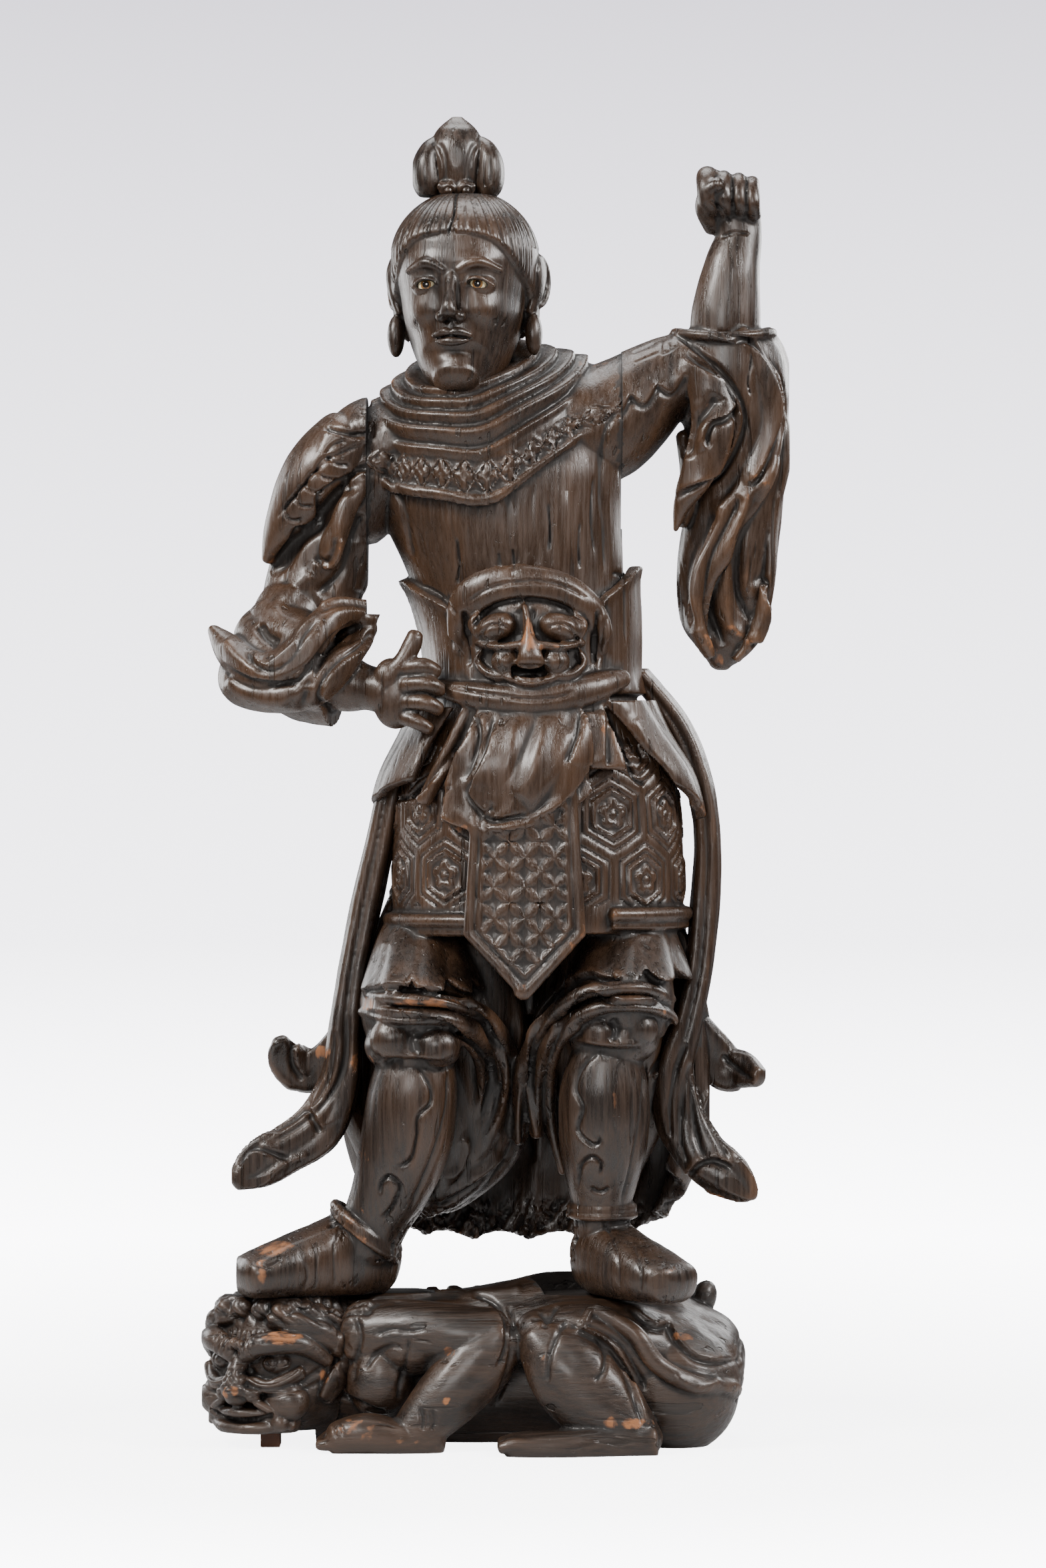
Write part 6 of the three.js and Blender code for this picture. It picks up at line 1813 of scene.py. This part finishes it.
def carved_wood(name, dark, brown, bare, groups, rough, patch_share, tilt=(0, 0, 0)):
    """Old lacquered wood: painted shade makes the hollows nearly black, brown where rubbed, bare in small
    patches.
    """
    material, tree, shader = new_material(name)
    place = add_node(tree, "ShaderNodeTexCoord").outputs["Object"]
    along_grain = add_node(tree, "ShaderNodeMapping", {"Vector": place, "Rotation": tilt}).outputs[0]
    grain, wear = (
        add_node(tree, "ShaderNodeGroup", {"Vector": vector}, node_tree=group).outputs
        for group, vector in zip(groups, (along_grain, place))
    )
    figure = ramp(tree, grain["Figure"], 0.44, 0.74)
    base = blend_colour(tree, times(tree, figure, 0.62), dark, brown)
    # Part wear and dust, part painted sheen: a lighter brown band at chest and skirt height stands in for the
    # strong front light there
    height = add_node(tree, "ShaderNodeSeparateXYZ", {0: place}).outputs["Z"]
    middle = times(tree, ramp(tree, height, 0.46, 0.56), ramp(tree, height, 1.06, 0.94))
    base = blend_colour(tree, times(tree, middle, 0.2), base, shade(brown, 1.5))
    streak = ramp(tree, grain["Fibre"], 0.42, 0.66)
    base = blend_colour(tree, times(tree, streak, 0.3), base, brown)
    base = blend_colour(tree, times(tree, wear["Rubbed"], 0.55), base, shade(brown, 1.9))
    raw = times(tree, wear["Patches"], patch_share)
    base = blend_colour(tree, raw, base, bare)
    # Painted shade: the hollows are darkened towards nearly black
    base = blend_colour(tree, times(tree, wear["Hollow"], 0.8), base, shade(dark, 0.2))
    base = blend_colour(tree, times(tree, grain["Checks"], 0.5), base, CRACK_COLOUR)
    roughness = plus(tree, rough, times(tree, streak, 0.2))
    roughness = plus(tree, roughness, times(tree, wear["Hollow"], 0.3))
    roughness = plus(tree, roughness, times(tree, raw, 0.3), clamp=True)
    relief = less(tree, times(tree, grain["Fibre"], 0.7), times(tree, grain["Checks"], 1.0))
    relief = less(tree, relief, times(tree, wear["Pits"], 0.5))
    bump = add_node(tree, "ShaderNodeBump", {"Strength": 0.9, "Distance": BUMP_DEPTH, "Height": relief})
    feed(tree, shader, {
        "Base Color": base, "Roughness": roughness, "Normal": bump.outputs[0],
        "Specular IOR Level": GLOSS, "Coat Weight": 0.2, "Coat Roughness": 0.2,
    })
    return material


def floor_material():
    """Pale floor that thins out into the background."""
    material, tree, shader = new_material("pale_floor")
    place = add_node(tree, "ShaderNodeTexCoord").outputs["Object"]
    from_middle = add_node(tree, "ShaderNodeVectorMath", {0: place}, operation="LENGTH").outputs["Value"]
    thinned = times(tree, ramp(tree, from_middle, 2.4, 0.5), 0.6)
    feed(tree, shader, {"Alpha": thinned, "Base Color": (0.96, 0.96, 0.97, 1), "Roughness": 0.8})
    return material


# The background's colours, from under the floor to the top, and its light on the statue
BACK_LOW, BACK_MIDDLE, BACK_TOP = (16, 16, 16.4, 1), (4.6, 4.55, 4.85, 1), (1.6, 1.53, 1.76, 1)
GLOW_COLOUR = (0.86, 0.84, 0.86, 1)


def studio_world(scene):
    """Pale lavender background, with a dimmer light of its own on the statue."""
    world = bpy.data.worlds.new("studio")
    scene.world = world
    world.use_nodes = True
    tree = world.node_tree
    tree.nodes.clear()
    way = add_node(tree, "ShaderNodeTexCoord").outputs["Generated"]
    height = add_node(tree, "ShaderNodeSeparateXYZ", {0: way}).outputs["Z"]
    low = blend_colour(tree, ramp(tree, height, -0.15, -0.03), BACK_LOW, BACK_MIDDLE)
    pale = blend_colour(tree, ramp(tree, height, -0.03, 0.16), low, BACK_TOP)
    back = add_node(tree, "ShaderNodeBackground", {"Color": pale, "Strength": 1.0}).outputs[0]
    glow = add_node(tree, "ShaderNodeBackground", {"Color": GLOW_COLOUR, "Strength": 0.16}).outputs[0]
    straight = add_node(tree, "ShaderNodeLightPath").outputs["Is Camera Ray"]
    both = add_node(tree, "ShaderNodeMixShader", {0: straight, 1: glow, 2: back}).outputs[0]
    add_node(tree, "ShaderNodeOutputWorld", {0: both})


PUPIL_COLOUR, IRIS_COLOUR = (0.008, 0.006, 0.005, 1), (0.17, 0.085, 0.03, 1)
PALE_GLASS = (0.55, 0.45, 0.24, 1), (0.78, 0.7, 0.5, 1)


def eye_material(centre, gaze):
    """Pale glass with a dark pupil and a gold-brown ring, set by distance from the gaze."""
    material, tree, shader = new_material("inlaid_eye")
    place = add_node(tree, "ShaderNodeTexCoord").outputs["Object"]
    apart = add_node(tree, "ShaderNodeVectorMath", {0: place, 1: tuple(centre + gaze)}, operation="DISTANCE")
    gap = apart.outputs["Value"]
    white = blend_colour(tree, noise_node(tree, place, 500.0), *PALE_GLASS)
    ring = blend_colour(tree, ramp(tree, gap, 0.0052, 0.0058), IRIS_COLOUR, white)
    colour = blend_colour(tree, ramp(tree, gap, 0.0032, 0.0037), PUPIL_COLOUR, ring)
    feed(tree, shader, {"Base Color": colour, "Roughness": 0.12, "Coat Weight": 0.6})
    return material


SMOOTH_ANGLE = math.radians(48)


def dress(obj, material, slot, *nodes):
    """Gives a piece its finish, keeps it inside the box of the solids that it stands for and hides those
    solids.
    """
    obj.data.materials.clear()
    obj.data.materials.append(material)
    keep_inside(obj, *nodes)
    pick(obj)
    bpy.ops.object.shade_smooth_by_angle(angle=SMOOTH_ANGLE)
    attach(obj, "root")
    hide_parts(*nodes)


FINISHES = {}


def wood(context, kind):
    """One of the three woods, which are made once."""
    if not FINISHES:
        settings = context.scene.statue_finish
        groups = (grain_group(), wear_and_shade_group())
        dark, brown, bare = (tuple(c) + (1,) for c in (settings.dark, settings.brown, settings.bare))
        rough = settings.roughness
        FINISHES["dark"] = carved_wood("dark_lacquered_wood", dark, brown, bare, groups, rough, 0.8)
        FINISHES["demon"] = carved_wood("worn_demon_wood", shade(dark, 0.9), shade(brown, 0.95), bare, groups,
                                        rough + 0.08, 0.9, (0, math.radians(90), 0))
        FINISHES["raw"] = carved_wood("bare_red_wood", (0.16, 0.055, 0.022, 1), (0.34, 0.13, 0.05, 1), bare,
                                      groups, 0.6, 0.6)
    return FINISHES[kind]


# Sizes and colours that a user would change


def facet_setting(name, carved, default, low):
    return bpy.props.FloatProperty(
        name=name, description="Size of the facets that " + carved + " carved with",
        default=default, min=low, max=0.01, unit="LENGTH", precision=4)


def colour_setting(name, description, default):
    return bpy.props.FloatVectorProperty(
        name=name, description=description, default=default, size=3, min=0, max=1, subtype="COLOR")


class StatueCarving(bpy.types.PropertyGroup):
    """How fine the carving is."""

    figure_facet: facet_setting("Figure facet", "the figure is", 0.0019, 0.001)
    head_facet: facet_setting("Head facet", "the head is", 0.0013, 0.0008)
    limb_facet: facet_setting("Limb facet", "arms, hands and scarves are", 0.0018, 0.0008)


class StatueFinish(bpy.types.PropertyGroup):
    """The colours of the wood."""

    dark: colour_setting("Lacquer", "Colour of the dark lacquer", (0.0098, 0.0061, 0.0042))
    brown: colour_setting("Worn brown", "Colour of the wood under thin lacquer", (0.058, 0.0295, 0.015))
    bare: colour_setting("Bare wood", "Colour of wood that has lost its lacquer", (0.24, 0.095, 0.034))
    roughness: bpy.props.FloatProperty(
        name="Roughness", description="Roughness of the lacquer", default=0.27, min=0, max=1,
        subtype="FACTOR")


# The most triangles that each piece is thinned to
MOST_TRIANGLES = {
    "figure": 196000,
    "head": 110000,
    "raised": 130000,
    "lowered": 140000,
    "topknot": 50000,
    "scarf": 60000,
    "demon": 115000,
    "demon_face": 75000,
}


def facet(context, name, share=1):
    size = getattr(context.scene.statue_carving, name) * share
    return size * 1


class STATUE_OT_figure(bpy.types.Operator):
    """Carve the guardian's trunk, armour, legs and robe"""

    bl_idname = "statue.figure"
    bl_label = "Figure"

    def execute(self, context):
        whole = [
            sweep(TRUNK, sides=120, caps=(0, 0)), collar(), waist(), apron(), skirt(), leg(RIGHT_LEG),
            leg(LEFT_LEG), robe(), raised_shoulder(), lowered_shoulder(),
        ]
        figure = carve("figure", whole, facet(context, "figure_facet"), 2,
                       [cut_collar, cut_skirt, cut_panel, cut_figure_lines, cut_worn_hem, cut_gouges])
        cut_away(figure, [
            block((RAISED_SEAM_X - GAP / 2, -FAR, 1180), (FAR, FAR, FAR)),
            block((-FAR, -FAR, 1080), (LOWERED_SEAM_X + GAP / 2, FAR, FAR)),
            block((-FAR, -FAR, -FAR), (FAR, FAR, SOLE_Z)),
            scarf(SCARF_RIGHT, GAP), scarf(SCARF_LEFT, GAP),
        ])
        thin(figure, MOST_TRIANGLES["figure"])
        dress(figure, wood(context, "dark"), "dark_wood", "body")
        return {"FINISHED"}


class STATUE_OT_head(bpy.types.Operator):
    """Carve the guardian's head and neck"""

    bl_idname = "statue.head"
    bl_label = "Head"

    def execute(self, context):
        neck = sweep([(-47, -14, 1330, 44, 46), (-46, -14, 1380, 44, 46), (-46, -12, 1420, 46, 50)])
        bust = carve("head_and_neck", [head(), neck], facet(context, "head_facet"), 3,
                     [cut_hair, cut_face])
        cut_away(bust, [block((-200, -200, CROWN_Z), (100, 200, FAR)), eye_opening(-1), eye_opening(1)])
        cut_away(bust, [ball(eye_place(side), (EYE_RADIUS,) * 3, grow=GAP) for side in (-1, 1)])
        thin(bust, MOST_TRIANGLES["head"])
        dress(bust, wood(context, "dark"), "dark_wood", "body")
        return {"FINISHED"}


class STATUE_OT_arms(bpy.types.Operator):
    """Carve the raised arm with its sleeve and the lowered arm with its cuff"""

    bl_idname = "statue.arms"
    bl_label = "Arms"

    def execute(self, context):
        size = facet(context, "limb_facet")
        raised = carve("raised_sleeve_and_fist", raised_arm(), size, 2, [cut_raised_arm, cut_gouges])
        cut_away(raised, [block((-FAR, -FAR, -FAR), (RAISED_SEAM_X + GAP / 2, FAR, FAR))])
        thin(raised, MOST_TRIANGLES["raised"])
        dress(raised, wood(context, "dark"), "dark_wood", "raised_arm")
        lowered = carve("lowered_sleeve_and_hand", lowered_arm(), size, 2, [cut_lowered_arm, cut_gouges])
        cut_away(lowered, [block((LOWERED_SEAM_X - GAP / 2, -FAR, 1070), (FAR, FAR, FAR))])
        thin(lowered, MOST_TRIANGLES["lowered"])
        dress(lowered, wood(context, "dark"), "dark_wood", "lowered_arm")
        return {"FINISHED"}


class STATUE_OT_topknot(bpy.types.Operator):
    """Carve the knot of hair on the crown"""

    bl_idname = "statue.topknot"
    bl_label = "Topknot"

    def execute(self, context):
        knot = carve("topknot_bud", topknot(), facet(context, "head_facet"), 2, [cut_knot])
        cut_away(knot, [block((-300, -300, 1500), (200, 300, CROWN_Z + GAP))])
        thin(knot, MOST_TRIANGLES["topknot"])
        dress(knot, wood(context, "dark"), "dark_wood", "topknot")
        return {"FINISHED"}


class STATUE_OT_scarves(bpy.types.Operator):
    """Carve the two hanging scarf tails"""

    bl_idname = "statue.scarves"
    bl_label = "Scarf tails"

    def execute(self, context):
        size = facet(context, "limb_facet")
        for name, tails, node in (("right_scarf_tail", SCARF_RIGHT, "scarf_right"),
                                  ("left_scarf_tail", SCARF_LEFT, "scarf_left")):
            tail = carve(name, scarf(tails), size, 2, [cut_scarf, cut_gouges])
            thin(tail, MOST_TRIANGLES["scarf"])
            dress(tail, wood(context, "dark"), "dark_wood", node)
        return {"FINISHED"}


class STATUE_OT_eyes(bpy.types.Operator):
    """Set the two inlaid eyes"""

    bl_idname = "statue.eyes"
    bl_label = "Eyes"

    def execute(self, context):
        gaze = turned((0, 0, HEAD_TURN)) @ np.array([0, -1, -0.02]) * EYE_RADIUS * SQUARE
        for side, node in ((-1, "eye_right"), (1, "eye_left")):
            centre = (eye_place(side) + OFFSET) * SQUARE
            bpy.ops.object.select_all(action="DESELECT")
            bpy.ops.mesh.primitive_ico_sphere_add(subdivisions=4, radius=EYE_RADIUS * SQUARE, location=centre)
            eye = bpy.context.object
            bpy.ops.object.transform_apply(location=True, rotation=True, scale=True)
            eye.name = eye.data.name = "inlaid_" + node
            dress(eye, eye_material(centre, gaze), "eye_glass", node)
        return {"FINISHED"}


class STATUE_OT_demon(bpy.types.Operator):
    """Carve the crouching demon"""

    bl_idname = "statue.demon"
    bl_label = "Demon"

    def execute(self, context):
        demon = carve("crouching_demon", demon_body(), facet(context, "limb_facet", 1.15), 3,
                      [cut_demon, cut_gouges])
        thin(demon, MOST_TRIANGLES["demon"])
        face = carve("demon_face", demon_head(), facet(context, "head_facet", 1.1), 2, [cut_demon_head])
        thin(face, MOST_TRIANGLES["demon_face"])
        use_up(demon, face, "UNION")
        cut_away(demon, [
            block((-FAR, -FAR, -FAR), (FAR, FAR, FLOOR_Z)),
            block((-FAR, -FAR, -FAR), (-236, 60, WEDGE_TOP + GAP)),
            block((-FAR, -FAR, SOLE_Z - GAP), (-150, FAR, FAR)),
            boot_seats(),
        ])
        dress(demon, wood(context, "demon"), "demon_wood", "demon")
        return {"FINISHED"}


class STATUE_OT_wedge(bpy.types.Operator):
    """Cut the small prop under the demon's chin"""

    bl_idname = "statue.wedge"
    bl_label = "Chin wedge"

    def execute(self, context):
        bpy.ops.object.select_all(action="DESELECT")
        size = WEDGE_HIGH - WEDGE_LOW
        bpy.ops.mesh.primitive_cube_add(size=1, location=(WEDGE_LOW + WEDGE_HIGH) / 2)
        wedge = bpy.context.object
        wedge.name = wedge.data.name = "chin_prop"
        wedge.scale = size
        bpy.ops.object.transform_apply(location=True, rotation=True, scale=True)
        bpy.ops.object.mode_set(mode="EDIT")
        bpy.ops.mesh.select_all(action="SELECT")
        bpy.ops.mesh.subdivide(number_cuts=5)
        bpy.ops.object.mode_set(mode="OBJECT")
        apply_modifier(wedge, "BEVEL", width=0.0009, segments=2)
        dress(wedge, wood(context, "raw"), "raw_wood", "chin_wedge")
        return {"FINISHED"}


# Each lamp's name, place, size, power in watts and colour
LAMPS = (
    ("key", (-2.0, -1.5, 2.5), 0.9, 165, (1, 0.96, 0.92)),
    ("fill", (2.3, -1.2, 2.1), 0.9, 120, (1, 0.97, 0.95)),
    ("front", (-0.7, -3.7, 1.55), 1.1, 58, (1, 0.98, 0.96)),
    ("top", (0, 0.5, 3.0), 1.6, 60, (1, 1, 1)),
    ("rim", (1.6, 1.9, 1.6), 1.2, 40, (1, 1, 1)),
    ("low", (-1.8, 1.6, 1.0), 1.2, 30, (1, 1, 1)),
)
LAMP_AIM = 0.65
FLOOR_RADIUS = 6


class STATUE_OT_stage(bpy.types.Operator):
    """Set up the pale floor, the soft lights and the camera"""

    bl_idname = "statue.stage"
    bl_label = "Stage"

    def execute(self, context):
        bpy.ops.object.select_all(action="DESELECT")
        bpy.ops.mesh.primitive_circle_add(vertices=64, radius=FLOOR_RADIUS, fill_type="TRIFAN")
        floor = bpy.context.object
        floor.name = "pale_floor"
        floor.data.materials.append(floor_material())
        studio_world(context.scene)
        for name, place, size, power, colour in LAMPS:
            bpy.ops.object.light_add(type="AREA", location=place)
            light = bpy.context.object
            light.name = name
            light.data.size = size
            light.data.energy = power
            light.data.color = colour
            aim = Vector((0, 0, LAMP_AIM)) - Vector(place)
            light.rotation_euler = aim.to_track_quat("-Z", "Y").to_euler()
        x = (VIEW_CENTRE[0] + OFFSET[0]) * SQUARE
        z = (VIEW_CENTRE[1] - FLOOR_Z) * SQUARE
        bpy.ops.object.camera_add(location=(x, -CAMERA_DISTANCE, z), rotation=(math.pi / 2, 0, 0))
        camera = bpy.context.object
        camera.data.sensor_fit = "VERTICAL"
        camera.data.sensor_height = SENSOR
        camera.data.lens = SENSOR * CAMERA_DISTANCE / (VIEW_HEIGHT * SQUARE)
        camera.data.clip_end = 100
        context.scene.camera = camera
        return {"FINISHED"}


class STATUE_PT_panel(bpy.types.Panel):
    """Lists the statue's pieces"""

    bl_idname = "STATUE_PT_panel"
    bl_label = "Guardian Statue"
    bl_space_type = "VIEW_3D"
    bl_region_type = "UI"
    bl_category = "Statue"

    def draw(self, context):
        column = self.layout.column()
        for name in ("figure_facet", "head_facet", "limb_facet"):
            column.prop(context.scene.statue_carving, name)
        for name in ("dark", "brown", "bare", "roughness"):
            column.prop(context.scene.statue_finish, name)
        for operator in OPERATORS:
            column.operator(operator.bl_idname)


OPERATORS = (
    STATUE_OT_stage,
    STATUE_OT_figure,
    STATUE_OT_head,
    STATUE_OT_arms,
    STATUE_OT_topknot,
    STATUE_OT_scarves,
    STATUE_OT_eyes,
    STATUE_OT_demon,
    STATUE_OT_wedge,
)
CLASSES = (StatueCarving, StatueFinish, *OPERATORS, STATUE_PT_panel)


def register():
    for cls in CLASSES:
        bpy.utils.register_class(cls)
    bpy.types.Scene.statue_carving = bpy.props.PointerProperty(type=StatueCarving)
    bpy.types.Scene.statue_finish = bpy.props.PointerProperty(type=StatueFinish)


def unregister():
    del bpy.types.Scene.statue_finish
    del bpy.types.Scene.statue_carving
    for cls in reversed(CLASSES):
        bpy.utils.unregister_class(cls)


def main():
    register()
    bpy.ops.statue.stage()
    bpy.ops.statue.figure()
    bpy.ops.statue.head()
    bpy.ops.statue.arms()
    bpy.ops.statue.topknot()
    bpy.ops.statue.scarves()
    bpy.ops.statue.eyes()
    bpy.ops.statue.demon()
    bpy.ops.statue.wedge()


if __name__ == "__main__":
    main()
